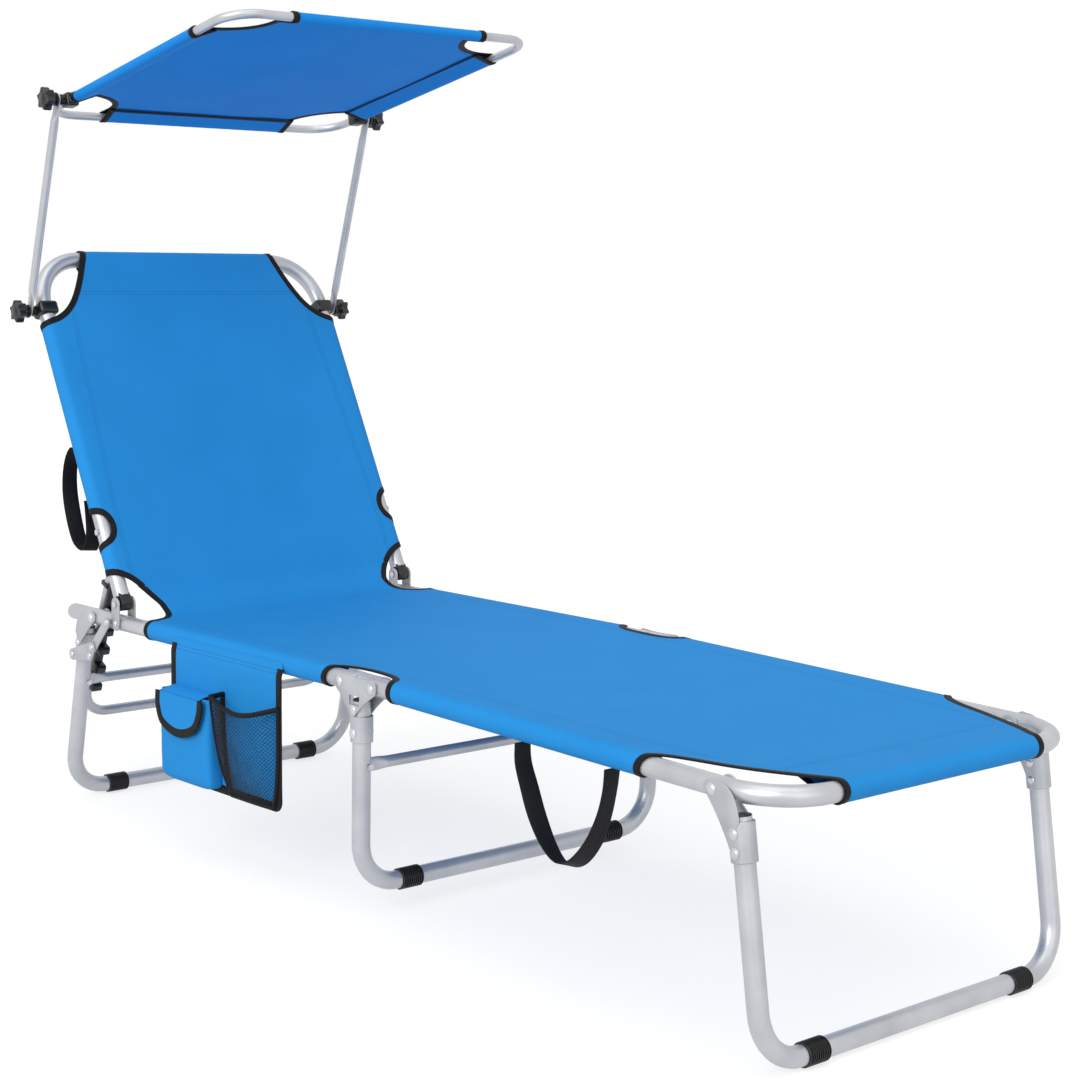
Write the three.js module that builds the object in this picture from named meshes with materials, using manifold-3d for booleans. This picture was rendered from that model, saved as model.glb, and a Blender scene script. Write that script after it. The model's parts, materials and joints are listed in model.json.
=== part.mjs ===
// A folding sun lounger with an adjustable canopy, as a three.js scene graph.
// Millimetres, +Z up. The head end lies toward -X and the foot end toward +X.
// Left and right are the sitter's own sides: left is +Y and right is -Y.

import * as THREE from 'three';
import { mergeVertices } from 'three/addons/utils/BufferGeometryUtils.js';
import Module from 'manifold-3d';

const wasm = await Module();
wasm.setup();

// Stock that the frame is made of
const TUBE_DIAMETER = 25;
const TUBE_WALL = 1.2;
const BRACE_DIAMETER = 16;
const BRACE_WALL = 1.2;
const CANOPY_TUBE_DIAMETER = 13;
const CANOPY_TUBE_WALL = 1;
const PLATE_THICKNESS = 2.5;
const RIVET_DIAMETER = 6;
const RIVET_HEAD_DIAMETER = 10;
const RIVET_HEAD_HEIGHT = 2;
const CLOTH_THICKNESS = 1.5;
const CLEARANCE = 0.3;

// Lounger body
const RAIL_SPACING = 534;
const SEAT_HEIGHT = 320;
const SEAT_SLOPE = 0.82;
const FOOT_LENGTH = 752;
const FOOT_SLOPE = 0.47;
const FRAME_CORNER_RADIUS = 80;
const RAIL_END_GAP = 4;
const BACKREST_LENGTH = 588;
const BACKREST_ANGLE = 62;

// Legs
const LEG_CORNER_RADIUS = 60;
const PAD_DIAMETER = 29.6;
const PAD_LENGTH = 36;
const PAD_CENTRE = 187;
const MID_LEG_LIFT = 25.4;
const MID_LEG_OFFSET = 31;
const MID_TUBE_DROP = 23;
const MID_BRACE_DROP = 112;
const MID_PIVOT_REACH = 27;
const MID_PIVOT_SPACING = 68;
const REAR_LEG_TILT = 11.3;
const REAR_LEG_OFFSET = 32.3;
const REAR_TUBE_DROP = 27;
const REAR_BRACE_DROP = 118;
const REAR_PIVOT_BEYOND_HINGE = 75;
const FOOT_LEG_TILT = -9.18;
const FOOT_LEG_OFFSET = 27.2;
const FOOT_TUBE_DROP = 31;
const FOOT_PIVOT_FROM_END = 90;

// Brackets
const SLEEVE_WALL = 2.5;
const LOBE_RADIUS = 12;
const MID_SLEEVE_TOP_DROP = 43;
const MID_SLEEVE_END_DROP = 79;
const MID_RIVET_DROPS = [34, 66];
const MID_WINDOW_WIDTH = 22;
const MID_WINDOW_HEIGHT = 13;
const MID_STOP_GAP = 0.7;
const MID_STOP_DEPTH = 9;
const REAR_SLEEVE_TOP_DROP = 36;
const REAR_SLEEVE_END_DROP = 62;
const REAR_RIVET_DROP = 53;
const FOOT_SLEEVE_TOP_DROP = 36;
const FOOT_SLEEVE_END_DROP = 81.5;
const FOOT_RIVET_DROPS = [48.7, 69.8];
const BOLT_DIAMETER = 5;
const BOLT_HEAD_DIAMETER = 9;
const BOLT_HEAD_HEIGHT = 3;
const BRACE_TAB_THICKNESS = 4;
const BRACE_TAB_HEIGHT = 20;
const BRACE_TAB_ENTRY = 9;
const BRACE_TAB_OVERLAP = 6;

// Toggle lock beside each rear leg
const LOCK_RAIL_BEYOND_HINGE = 18;
const LOCK_LEG_DROP = 71.7;
const LOCK_KNEE_AHEAD = 23;
const LOCK_KNEE_DROP = 40.6;
const LOCK_STUD_AHEAD = 19.8;
const LOCK_STUD_DROP = 56;
const LOCK_LINK_WIDTH = 16;
const LOCK_PLATE_RADIUS = 9;
const LOCK_STUD_RADIUS = 7.5;

// Backrest hinge, prop and rack
const HINGE_REACH = 610;
const HINGE_RISE = 30.3;
const RAIL_BEYOND_HINGE = 161;
const HINGE_PLATE_WIDTH = 22;
const HINGE_PIN_DIAMETER = 8;
const BACK_TUBE_START = 11;
const PROP_REACH = 119;
const PROP_PIN_DIAMETER = 8;
const PROP_TILT = 21.93;
const PROP_LENGTH = 338;
const PROP_SPACING = 478;
const PROP_CORNER_RADIUS = 45;
const PROP_HUB_DIAMETER = 20;
const PROP_HUB_THICKNESS = 6;
const RACK_START = 87;
const RACK_END = 280;
const RACK_WIDTH = 15;
const RACK_SPINE = 6.5;
const RACK_TOOTH_DEPTH = 14.5;
const RACK_TOOTH_ROOT = 15.5;
const RACK_TOOTH_TIP = 14;
const RACK_PITCH = 34;
const RACK_LOW_NOTCH = 255.5;
const RACK_NOTCHES = 5;

// Canopy
const CANOPY_ARM_FROM_TOP = 89;
const CANOPY_ARM_BEHIND = 4;
const CANOPY_ARM_LEAN = 16.7;
const CANOPY_ARM_LENGTH = 340;
const CANOPY_ARM_WIDTH = 18;
const CANOPY_ARM_THICKNESS = 5;
const CANOPY_ARM_SPACING = 586;
const CANOPY_ARM_FLAT = 26;
const CANOPY_TILT = 12.8;
const CANOPY_WIDTH = 544;
const CANOPY_REAR = 80;
const CANOPY_FRONT = 465;
const CANOPY_CORNER_RADIUS = 50;
const CANOPY_CUTOUT = 72;
const CANOPY_SEAM_GAP = 2;
const KNOB_DIAMETER = 36;
const KNOB_THICKNESS = 14;
const KNOB_LOBES = 6;
const KNOB_LOBE_DEPTH = 3;
const KNOB_SHAFT_DIAMETER = 6;
const KNOB_COLLAR_DIAMETER = 16;
const KNOB_STAND_OFF = 10;
const CLAMP_WIDTH = 22;
const CLAMP_WALL = 3.5;

// Sling
const SLEEVE_CLEARANCE = 0.4;
const SEAT_SLING_BEYOND_HINGE = 10;
const SEAT_SLING_CUT_AHEAD_OF_HINGE = 65;
const SEAT_SLING_CUT_DEPTH = 52;
const MID_CUT_REACH = 60;
const MID_CUT_DEPTH = 18;
const SLING_JOINT_GAP = 8;
const FOOT_SLING_CUT_LENGTH = 209;
const FOOT_SLING_CUT_DEPTH = 62;
const END_SLEEVE_HALF = 180;
const BACK_SLING_CUT = 60;
const BACK_SLING_START = 6;
const BACK_SLING_TOP_CUT_LENGTH = 116;
const BACK_NOTCH_RADIUS = 22;
const FOOT_CUT_REACH = 20;

// Pocket organiser on the right seat rail
const POCKET_REAR = 440;
const POCKET_FRONT = 157;
const POCKET_SPLIT = 304;
const POCKET_DROP = 206;
const POCKET_TAB_WIDTH = 26;
const POCKET_TAB_HEIGHT = 12;
const POCKET_PANEL_THICKNESS = 2;
const POCKET_STAND_OFF = 285.2;
const POUCH_DEPTH = 29;
const POUCH_WALL = 2;
const PHONE_POUCH_RISE = 138;
const MESH_POCKET_RISE = 124;
const MESH_POCKET_DIP = 18;
const FLAP_WIDTH = 104;
const FLAP_HEIGHT = 50;
const FLAP_THICKNESS = 2;
const FLAP_DROP = 70;

// Carrying straps
const STRAP_WIDTH = 25;
const STRAP_THICKNESS = 1.5;
const FOOT_STRAP_REAR = 330;
const FOOT_STRAP_FRONT = 489;
const FOOT_STRAP_DROP = 135;
const BACK_STRAP_START = 178;
const BACK_STRAP_END = 268;
const BACK_STRAP_HANG = 62;

// How finely the round shapes are cut into flats
const TUBE_SIDES = 12;
const BORE_SIDES = 6;
const BEND_STEPS = 4;
const PIN_SIDES = 6;
const PAD_SIDES = 16;
const DISC_SIDES = 16;
const CUT_OVERRUN = 2;
const CURVE_STEPS = 6;
const STEPS_PER_LOBE = 4;
const STEPS_PER_STATION = 4;

const SEAT_LENGTH = HINGE_REACH + RAIL_BEYOND_HINGE;
const REAR_PIVOT_REACH = HINGE_REACH + REAR_PIVOT_BEYOND_HINGE;
const LOCK_RAIL_REACH = HINGE_REACH + LOCK_RAIL_BEYOND_HINGE;
const SEAT_SLING_REAR = HINGE_REACH + SEAT_SLING_BEYOND_HINGE;
const SEAT_SLING_CUT_REAR = HINGE_REACH - SEAT_SLING_CUT_AHEAD_OF_HINGE;
const FOOT_PIVOT_REACH = FOOT_LENGTH - FOOT_PIVOT_FROM_END;
const FOOT_SLING_CUT = FOOT_LENGTH - FOOT_SLING_CUT_LENGTH;
const CANOPY_ARM_REACH = BACKREST_LENGTH - CANOPY_ARM_FROM_TOP;
const BACK_SLING_TOP_CUT = BACKREST_LENGTH - BACK_SLING_TOP_CUT_LENGTH;
const TUBE_RADIUS = TUBE_DIAMETER / 2;
const BRACE_RADIUS = BRACE_DIAMETER / 2;
const CANOPY_TUBE_RADIUS = CANOPY_TUBE_DIAMETER / 2;
const PIN_RADIUS = RIVET_DIAMETER / 2;
const PAD_RADIUS = PAD_DIAMETER / 2;
const RAIL_Y = RAIL_SPACING / 2;
const PROP_Y = PROP_SPACING / 2;
const ARM_Y = CANOPY_ARM_SPACING / 2;
const CANOPY_Y = CANOPY_WIDTH / 2;
const SLEEVE_BORE = TUBE_RADIUS + CLEARANCE;
const SLEEVE_RADIUS = SLEEVE_BORE + SLEEVE_WALL;
const OUTER_PLATE = RAIL_Y + TUBE_RADIUS + CLEARANCE;
const OUTER_FACE = OUTER_PLATE + PLATE_THICKNESS;
const INNER_PLATE = RAIL_Y - TUBE_RADIUS - CLEARANCE;
const INNER_FACE = INNER_PLATE - PLATE_THICKNESS;
const LINK_LAYER = OUTER_FACE + RIVET_HEAD_HEIGHT + 2 * CLEARANCE;
const TOGGLE_LAYER = LINK_LAYER + PLATE_THICKNESS + CLEARANCE;
const SLING_BORE = TUBE_RADIUS + SLEEVE_CLEARANCE;
const SLING_RADIUS = SLING_BORE + CLOTH_THICKNESS;
const SIDES = [['left', 1], ['right', -1]];

const radians = (degrees) => THREE.MathUtils.degToRad(degrees);
const sine = (degrees) => Math.sin(radians(degrees));
const cosine = (degrees) => Math.cos(radians(degrees));

// Colours and finishes
const finishes = {
  tube: { color: 0xc9ccd0, roughness: 0.38, metalness: 0.85 },
  bracket: { color: 0xbfc2c6, roughness: 0.42, metalness: 0.85 },
  rivet: { color: 0xd6d8da, roughness: 0.3, metalness: 0.9 },
  sling: { color: 0x2f86d6, roughness: 0.85, metalness: 0 },
  canopy: { color: 0x2f86d6, roughness: 0.85, metalness: 0 },
  plastic: { color: 0x17181a, roughness: 0.5, metalness: 0 },
  webbing: { color: 0x101113, roughness: 0.9, metalness: 0 },
  mesh: { color: 0x2a2c30, roughness: 0.9, metalness: 0 },
};

// A path of straight runs joined by round bends, with one station at each end of a
// straight run and a few along each bend, so that a swept tube has no spare rings.
class BentPath extends THREE.Curve {
  constructor(corners, bendRadius) {
    super();
    this.points = [corners[0].clone()];
    this.tangents = [corners[1].clone().sub(corners[0]).normalize()];
    for (let i = 1; i < corners.length - 1; i += 1) {
      this.addBend(corners[i - 1], corners[i], corners[i + 1], bendRadius);
    }
    const last = corners.length - 1;
    this.points.push(corners[last].clone());
    this.tangents.push(corners[last].clone().sub(corners[last - 1]).normalize());
  }

  addBend(before, corner, after, bendRadius) {
    const inward = corner.clone().sub(before).normalize();
    const outward = after.clone().sub(corner).normalize();
    const turn = inward.angleTo(outward);
    const setback = bendRadius * Math.tan(turn / 2);
    const start = corner.clone().addScaledVector(inward, -setback);
    const axis = inward.clone().cross(outward).normalize();
    const toCentre = axis.clone().cross(inward);
    const centre = start.clone().addScaledVector(toCentre, bendRadius);
    for (let step = 0; step <= BEND_STEPS; step += 1) {
      const angle = (turn * step) / BEND_STEPS;
      const spoke = start.clone().sub(centre).applyAxisAngle(axis, angle);
      this.points.push(centre.clone().add(spoke));
      this.tangents.push(inward.clone().applyAxisAngle(axis, angle));
    }
  }

  get steps() {
    return this.points.length - 1;
  }

  getPoint(share, target = new THREE.Vector3()) {
    return target.copy(this.points[Math.round(share * this.steps)]);
  }

  getPointAt(share, target) {
    return this.getPoint(share, target);
  }

  getTangentAt(share, target = new THREE.Vector3()) {
    return target.copy(this.tangents[Math.round(share * this.steps)]);
  }
}

// A closed mesh as a solid that can be joined and cut
function toSolid(geometry) {
  const bare = geometry.clone();
  for (const name of Object.keys(bare.attributes)) {
    if (name !== 'position') {
      bare.deleteAttribute(name);
    }
  }
  const merged = mergeVertices(bare);
  const triangles = [];
  for (let i = 0; i < merged.index.count; i += 3) {
    const [a, b, c] = [0, 1, 2].map((corner) => merged.index.getX(i + corner));
    if (a !== b && b !== c && c !== a) {
      triangles.push(a, b, c);
    }
  }
  return new wasm.Manifold(new wasm.Mesh({
    numProp: 3,
    vertProperties: new Float32Array(merged.attributes.position.array),
    triVerts: new Uint32Array(triangles),
  }));
}

function toGeometry(solid) {
  const mesh = solid.getMesh();
  const geometry = new THREE.BufferGeometry();
  geometry.setAttribute('position', new THREE.BufferAttribute(mesh.vertProperties, 3));
  geometry.setIndex(new THREE.BufferAttribute(mesh.triVerts, 1));
  geometry.computeVertexNormals();
  return geometry;
}

function join(...geometries) {
  return toGeometry(geometries.map(toSolid).reduce((whole, piece) => whole.add(piece)));
}

function cut(geometry, ...tools) {
  return toGeometry(tools.map(toSolid).reduce((left, tool) => left.subtract(tool), toSolid(geometry)));
}

// A regular outline round a centre, drawn counterclockwise
function discPoints(x, y, radius, sides, turn = 0) {
  const points = [];
  for (let i = 0; i < sides; i += 1) {
    const angle = turn + (2 * Math.PI * i) / sides;
    points.push(new THREE.Vector2(x + radius * Math.cos(angle), y + radius * Math.sin(angle)));
  }
  return points;
}

// The convex outline that wraps a set of discs, each given as [x, y, radius]
function wrapDiscs(discs) {
  const points = discs.flatMap(([x, y, radius]) => discPoints(x, y, radius, DISC_SIDES));
  points.sort((a, b) => a.x - b.x || a.y - b.y);
  const half = (list) => {
    const chain = [];
    for (const point of list) {
      while (chain.length > 1 && turnOf(chain.at(-2), chain.at(-1), point) <= 0) {
        chain.pop();
      }
      chain.push(point);
    }
    chain.pop();
    return chain;
  };
  return new THREE.Shape([...half(points), ...half([...points].reverse())]);
}

function turnOf(a, b, c) {
  return (b.x - a.x) * (c.y - a.y) - (b.y - a.y) * (c.x - a.x);
}

// A round tube's section, with its bore where a wall is given
function tubeSection(radius, wall) {
  const shape = new THREE.Shape(discPoints(0, 0, radius, TUBE_SIDES, Math.PI / TUBE_SIDES));
  if (wall) {
    shape.holes.push(new THREE.Path(discPoints(0, 0, radius - wall, BORE_SIDES)));
  }
  return shape;
}

function sweptTube(corners, bendRadius, radius, wall) {
  const path = new BentPath(corners, bendRadius);
  return new THREE.ExtrudeGeometry(tubeSection(radius, wall), { steps: path.steps, extrudePath: path });
}

function straightTube(start, end, radius, wall) {
  const section = tubeSection(radius, wall);
  const length = start.distanceTo(end);
  const geometry = new THREE.ExtrudeGeometry(section, { depth: length, bevelEnabled: false });
  const turn = new THREE.Quaternion().setFromUnitVectors(
    new THREE.Vector3(0, 0, 1),
    end.clone().sub(start).normalize(),
  );
  geometry.applyQuaternion(turn);
  return geometry.translate(start.x, start.y, start.z);
}

// An outline in the X-Z plane, given thickness between two distances from the middle plane
function sidePlate(shape, side, near, far) {
  const geometry = new THREE.ExtrudeGeometry(shape, {
    depth: far - near,
    bevelEnabled: false,
    curveSegments: CURVE_STEPS,
  });
  geometry.rotateX(Math.PI / 2);
  return geometry.translate(0, side > 0 ? far : -near, 0);
}

// A round pin across the lounger
function crossPin(x, z, side, near, far, radius, sides = PIN_SIDES) {
  const geometry = new THREE.CylinderGeometry(radius, radius, far - near, sides);
  return geometry.translate(x, side * (near + far) / 2, z);
}

// A round hole across the lounger, whose flats clear a pin of the given radius
function crossHole(x, z, side, near, far, pinRadius) {
  const radius = (pinRadius + CLEARANCE) / Math.cos(Math.PI / PIN_SIDES);
  return crossPin(x, z, side, near, far, radius);
}

// Clearance holes through both walls of a 25 mm tube at one side of the lounger
function railHole(x, z, side, pinRadius = PIN_RADIUS) {
  const reach = TUBE_RADIUS + CUT_OVERRUN;
  return crossHole(x, z, side, RAIL_Y - reach, RAIL_Y + reach, pinRadius);
}

// A rivet through both plates of a bracket, with a head on each outer face
function plateRivet(x, z, side) {
  const reach = PLATE_THICKNESS / 2;
  const head = RIVET_HEAD_DIAMETER / 2;
  return [
    crossPin(x, z, side, INNER_FACE - reach, OUTER_FACE + reach, PIN_RADIUS),
    crossPin(x, z, side, OUTER_FACE - reach, OUTER_FACE + RIVET_HEAD_HEIGHT, head),
    crossPin(x, z, side, INNER_FACE - RIVET_HEAD_HEIGHT, INNER_FACE + reach, head),
  ];
}

// A fore-and-aft hole through a tube, for a brace bolt
function boreHole(radius, x, y, z, length) {
  const flatRadius = (radius + CLEARANCE) / Math.cos(Math.PI / PIN_SIDES);
  const geometry = new THREE.CylinderGeometry(flatRadius, flatRadius, length, PIN_SIDES);
  geometry.rotateZ(Math.PI / 2);
  return geometry.translate(x, y, z);
}

function box(x0, x1, y0, y1, z0, z1) {
  const geometry = new THREE.BoxGeometry(x1 - x0, y1 - y0, z1 - z0);
  return geometry.translate((x0 + x1) / 2, (y0 + y1) / 2, (z0 + z1) / 2);
}

function addPiece(parent, name, geometry, finish) {
  const mesh = new THREE.Mesh(geometry, new THREE.MeshStandardMaterial(finish));
  mesh.name = name;
  parent.add(mesh);
  return mesh;
}

// A turned frame whose origin is one joint of the lounger
function addJointFrame(parent, name, x, z, turn) {
  const frame = new THREE.Group();
  frame.name = name;
  frame.position.set(x, 0, z);
  frame.rotation.y = radians(turn);
  parent.add(frame);
  return frame;
}

// Height of a point that lies x along a rail frame turned by the given angle
const railHeight = (along, turn) => SEAT_HEIGHT - along * sine(turn);

const group = new THREE.Group();
const seat = addJointFrame(group, 'seat_origin', 0, SEAT_HEIGHT, -SEAT_SLOPE);
const foot = addJointFrame(group, 'foot_origin', 0, SEAT_HEIGHT, FOOT_SLOPE);

// How far below its pivot a leg's crossbar lies, measured along the leg, so that its pads
// reach the wanted height above the floor
function legDrop(pivotHeight, tilt, ahead, lift) {
  const fall = pivotHeight - PAD_RADIUS - lift - ahead * sine(tilt);
  return fall / cosine(tilt);
}

// A U-shaped leg of 25 mm tube, open at the top ends, in its pivot's own frame
function legTube(ahead, topDrop, drop) {
  const corners = [
    new THREE.Vector3(ahead, -RAIL_Y, -topDrop),
    new THREE.Vector3(ahead, -RAIL_Y, -drop),
    new THREE.Vector3(ahead, RAIL_Y, -drop),
    new THREE.Vector3(ahead, RAIL_Y, -topDrop),
  ];
  return sweptTube(corners, LEG_CORNER_RADIUS, TUBE_RADIUS, TUBE_WALL);
}

// The slots and bolt holes that a leg has for the ends of its brace
function braceCuts(ahead, braceDrop) {
  const cuts = [];
  for (const [, side] of SIDES) {
    const near = RAIL_Y - TUBE_RADIUS - CUT_OVERRUN;
    const far = RAIL_Y;
    const half = BRACE_TAB_THICKNESS / 2 + CLEARANCE;
    const rise = BRACE_TAB_HEIGHT / 2 + CLEARANCE;
    const [low, high] = side > 0 ? [near, far] : [-far, -near];
    cuts.push(box(ahead - half, ahead + half, low, high, -braceDrop - rise, -braceDrop + rise));
    const length = TUBE_DIAMETER + 2 * CUT_OVERRUN;
    const boltY = side * (RAIL_Y - BRACE_TAB_ENTRY / 2);
    cuts.push(boreHole(BOLT_DIAMETER / 2, ahead, boltY, -braceDrop, length));
  }
  return cuts;
}

// A brace of 16 mm tube whose flattened ends enter the two legs
function braceTube(ahead, braceDrop) {
  const reach = RAIL_Y - TUBE_RADIUS - CLEARANCE;
  const tube = straightTube(
    new THREE.Vector3(ahead, -reach, -braceDrop),
    new THREE.Vector3(ahead, reach, -braceDrop),
    BRACE_RADIUS,
    BRACE_WALL,
  );
  const half = BRACE_TAB_THICKNESS / 2;
  const rise = BRACE_TAB_HEIGHT / 2;
  const pieces = [tube];
  const holes = [];
  for (const [, side] of SIDES) {
    const near = reach - BRACE_TAB_OVERLAP;
    const far = RAIL_Y - CLEARANCE;
    const [low, high] = side > 0 ? [near, far] : [-far, -near];
    pieces.push(box(ahead - half, ahead + half, low, high, -braceDrop - rise, -braceDrop + rise));
    const boltY = side * (RAIL_Y - BRACE_TAB_ENTRY / 2);
    holes.push(boreHole(BOLT_DIAMETER / 2, ahead, boltY, -braceDrop, BRACE_DIAMETER));
  }
  return cut(join(...pieces), ...holes);
}

// A bolt that runs fore and aft through a leg and the brace end inside it
function braceBolt(ahead, braceDrop, side) {
  const y = side * (RAIL_Y - BRACE_TAB_ENTRY / 2);
  const face = TUBE_RADIUS + CLEARANCE;
  const radius = BOLT_DIAMETER / 2;
  const shank = new THREE.CylinderGeometry(radius, radius, 2 * face + BOLT_HEAD_HEIGHT, PIN_SIDES);
  shank.rotateZ(Math.PI / 2);
  const headRadius = BOLT_HEAD_DIAMETER / 2;
  const ends = [1, -1].map((way) => {
    const end = new THREE.CylinderGeometry(headRadius, headRadius, BOLT_HEAD_HEIGHT, PIN_SIDES);
    end.rotateZ(Math.PI / 2);
    return end.translate(way * (face + BOLT_HEAD_HEIGHT / 2), 0, 0);
  });
  return join(shank, ...ends).translate(ahead, y, -braceDrop);
}

// A foot pad round a leg's crossbar, with one flat turned to the floor
function footPad(ahead, drop, side, tilt) {
  const outer = PAD_RADIUS / Math.cos(Math.PI / PAD_SIDES);
  const bore = (TUBE_RADIUS + CLEARANCE) / Math.cos(Math.PI / PAD_SIDES);
  const half = PAD_LENGTH / 2;
  const chamfer = PLATE_THICKNESS / 2;
  const profile = [
    new THREE.Vector2(bore, -half),
    new THREE.Vector2(outer - chamfer, -half),
    new THREE.Vector2(outer, -half + chamfer),
    new THREE.Vector2(outer, half - chamfer),
    new THREE.Vector2(outer - chamfer, half),
    new THREE.Vector2(bore, half),
    new THREE.Vector2(bore, -half),
  ];
  const geometry = new THREE.LatheGeometry(profile, PAD_SIDES, Math.PI / PAD_SIDES);
  geometry.rotateY(-radians(tilt));
  return geometry.translate(ahead, side * PAD_CENTRE, -drop);
}

// Sleeve of a bracket round the top of a leg tube
function bracketSleeve(ahead, side, topDrop, endDrop) {
  const section = new THREE.Shape(discPoints(0, 0, SLEEVE_RADIUS, TUBE_SIDES, Math.PI / TUBE_SIDES));
  const bore = SLEEVE_BORE / Math.cos(Math.PI / TUBE_SIDES);
  section.holes.push(new THREE.Path(discPoints(0, 0, bore, TUBE_SIDES, Math.PI / TUBE_SIDES)));
  const geometry = new THREE.ExtrudeGeometry(section, { depth: endDrop - topDrop, bevelEnabled: false });
  return geometry.translate(ahead, side * RAIL_Y, -endDrop);
}

// Both plates, the sleeve and the rivets of one bracket
function bracket(outline, innerOutline, side, ahead, sleeveTop, sleeveEnd, rivets) {
  return join(
    sidePlate(outline, side, OUTER_PLATE, OUTER_FACE),
    sidePlate(innerOutline, side, INNER_FACE, INNER_PLATE),
    bracketSleeve(ahead, side, sleeveTop, sleeveEnd),
    ...rivets.flatMap(([x, z]) => plateRivet(x, z, side)),
  );
}

// Outline of a bracket plate whose pivot lobe stands beside the leg that it holds: the edge
// over the leg runs straight and the other sweeps down in a hollow curve
function gussetOutline(ahead, sleeveTop, sleeveEnd) {
  const way = Math.sign(ahead);
  const farEdge = ahead + way * SLEEVE_RADIUS;
  const nearEdge = ahead - way * SLEEVE_RADIUS;
  const shape = new THREE.Shape();
  const from = way > 0 ? Math.PI : 0;
  const to = way > 0 ? Math.PI / 3 : (2 * Math.PI) / 3;
  shape.absarc(0, 0, LOBE_RADIUS, from, to, way > 0);
  shape.quadraticCurveTo(farEdge - way * LOBE_RADIUS, LOBE_RADIUS / 2, farEdge, -sleeveTop);
  shape.lineTo(farEdge, -sleeveEnd);
  shape.lineTo(nearEdge, -sleeveEnd);
  shape.quadraticCurveTo(nearEdge, -sleeveTop, -way * LOBE_RADIUS, 0);
  return shape;
}

// The inner plate of the same bracket, which stays under the rail where the rail bends inward
function innerGussetOutline(ahead, sleeveTop, sleeveEnd) {
  const way = Math.sign(ahead);
  const farEdge = ahead + way * SLEEVE_RADIUS;
  const nearEdge = ahead - way * SLEEVE_RADIUS;
  const shape = new THREE.Shape();
  shape.absarc(0, 0, LOBE_RADIUS, way > 0 ? Math.PI : 0, way > 0 ? 0 : Math.PI, way > 0);
  shape.lineTo(way * LOBE_RADIUS, -TUBE_RADIUS - PLATE_THICKNESS);
  shape.lineTo(farEdge, -sleeveTop);
  shape.lineTo(farEdge, -sleeveEnd);
  shape.lineTo(nearEdge, -sleeveEnd);
  shape.quadraticCurveTo(nearEdge, -sleeveTop, -way * LOBE_RADIUS, 0);
  return shape;
}

// Middle leg, which also carries the joint between the seat and foot rails
const midPivotHeight = railHeight(-MID_PIVOT_REACH, -SEAT_SLOPE);
const midLeg = addJointFrame(group, 'mid_leg_fold', -MID_PIVOT_REACH, midPivotHeight, 0);
const midLegDrop = legDrop(midPivotHeight, 0, MID_LEG_OFFSET, MID_LEG_LIFT);
const footPivotAhead = MID_PIVOT_SPACING;
const footPivotX = MID_PIVOT_SPACING - MID_PIVOT_REACH;
const footPivotRise = railHeight(footPivotX, FOOT_SLOPE) - midPivotHeight;

function midBracketOutline() {
  const shape = new THREE.Shape();
  const sleeveLeft = MID_LEG_OFFSET - SLEEVE_RADIUS;
  const sleeveRight = MID_LEG_OFFSET + SLEEVE_RADIUS;
  const middle = MID_PIVOT_SPACING / 2;
  shape.absarc(0, 0, LOBE_RADIUS, (5 * Math.PI) / 4, Math.PI / 2, true);
  const dip = LOBE_RADIUS - PLATE_THICKNESS;
  shape.quadraticCurveTo(middle, dip, footPivotAhead, footPivotRise + LOBE_RADIUS);
  shape.absarc(footPivotAhead, footPivotRise, LOBE_RADIUS, Math.PI / 2, -Math.PI / 4, true);
  shape.lineTo(sleeveRight, -MID_SLEEVE_TOP_DROP);
  shape.lineTo(sleeveRight, -MID_SLEEVE_END_DROP);
  shape.lineTo(sleeveLeft, -MID_SLEEVE_END_DROP);
  shape.lineTo(sleeveLeft, -MID_SLEEVE_TOP_DROP);
  shape.closePath();
  return shape;
}

const midStopTop = -TUBE_RADIUS - MID_STOP_GAP;

function midWindow() {
  const half = MID_WINDOW_WIDTH / 2;
  const rise = MID_WINDOW_HEIGHT / 2;
  const x = MID_PIVOT_SPACING / 2;
  const z = midStopTop - PLATE_THICKNESS / 2 - rise;
  const corners = [[x - half, z - rise], [x + half, z - rise], [x + half, z + rise], [x - half, z + rise]];
  return new THREE.Shape(corners.map(([px, pz]) => new THREE.Vector2(px, pz)));
}

// The tab that is bent inward out of the window, on which the rail ends come to rest
function midStop(side) {
  const half = MID_WINDOW_WIDTH / 2 - PLATE_THICKNESS / 2;
  const x = MID_PIVOT_SPACING / 2;
  const near = OUTER_FACE - PLATE_THICKNESS / 2;
  const far = OUTER_PLATE - MID_STOP_DEPTH;
  const [low, high] = side > 0 ? [far, near] : [-near, -far];
  return box(x - half, x + half, low, high, midStopTop - PLATE_THICKNESS, midStopTop);
}

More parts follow.
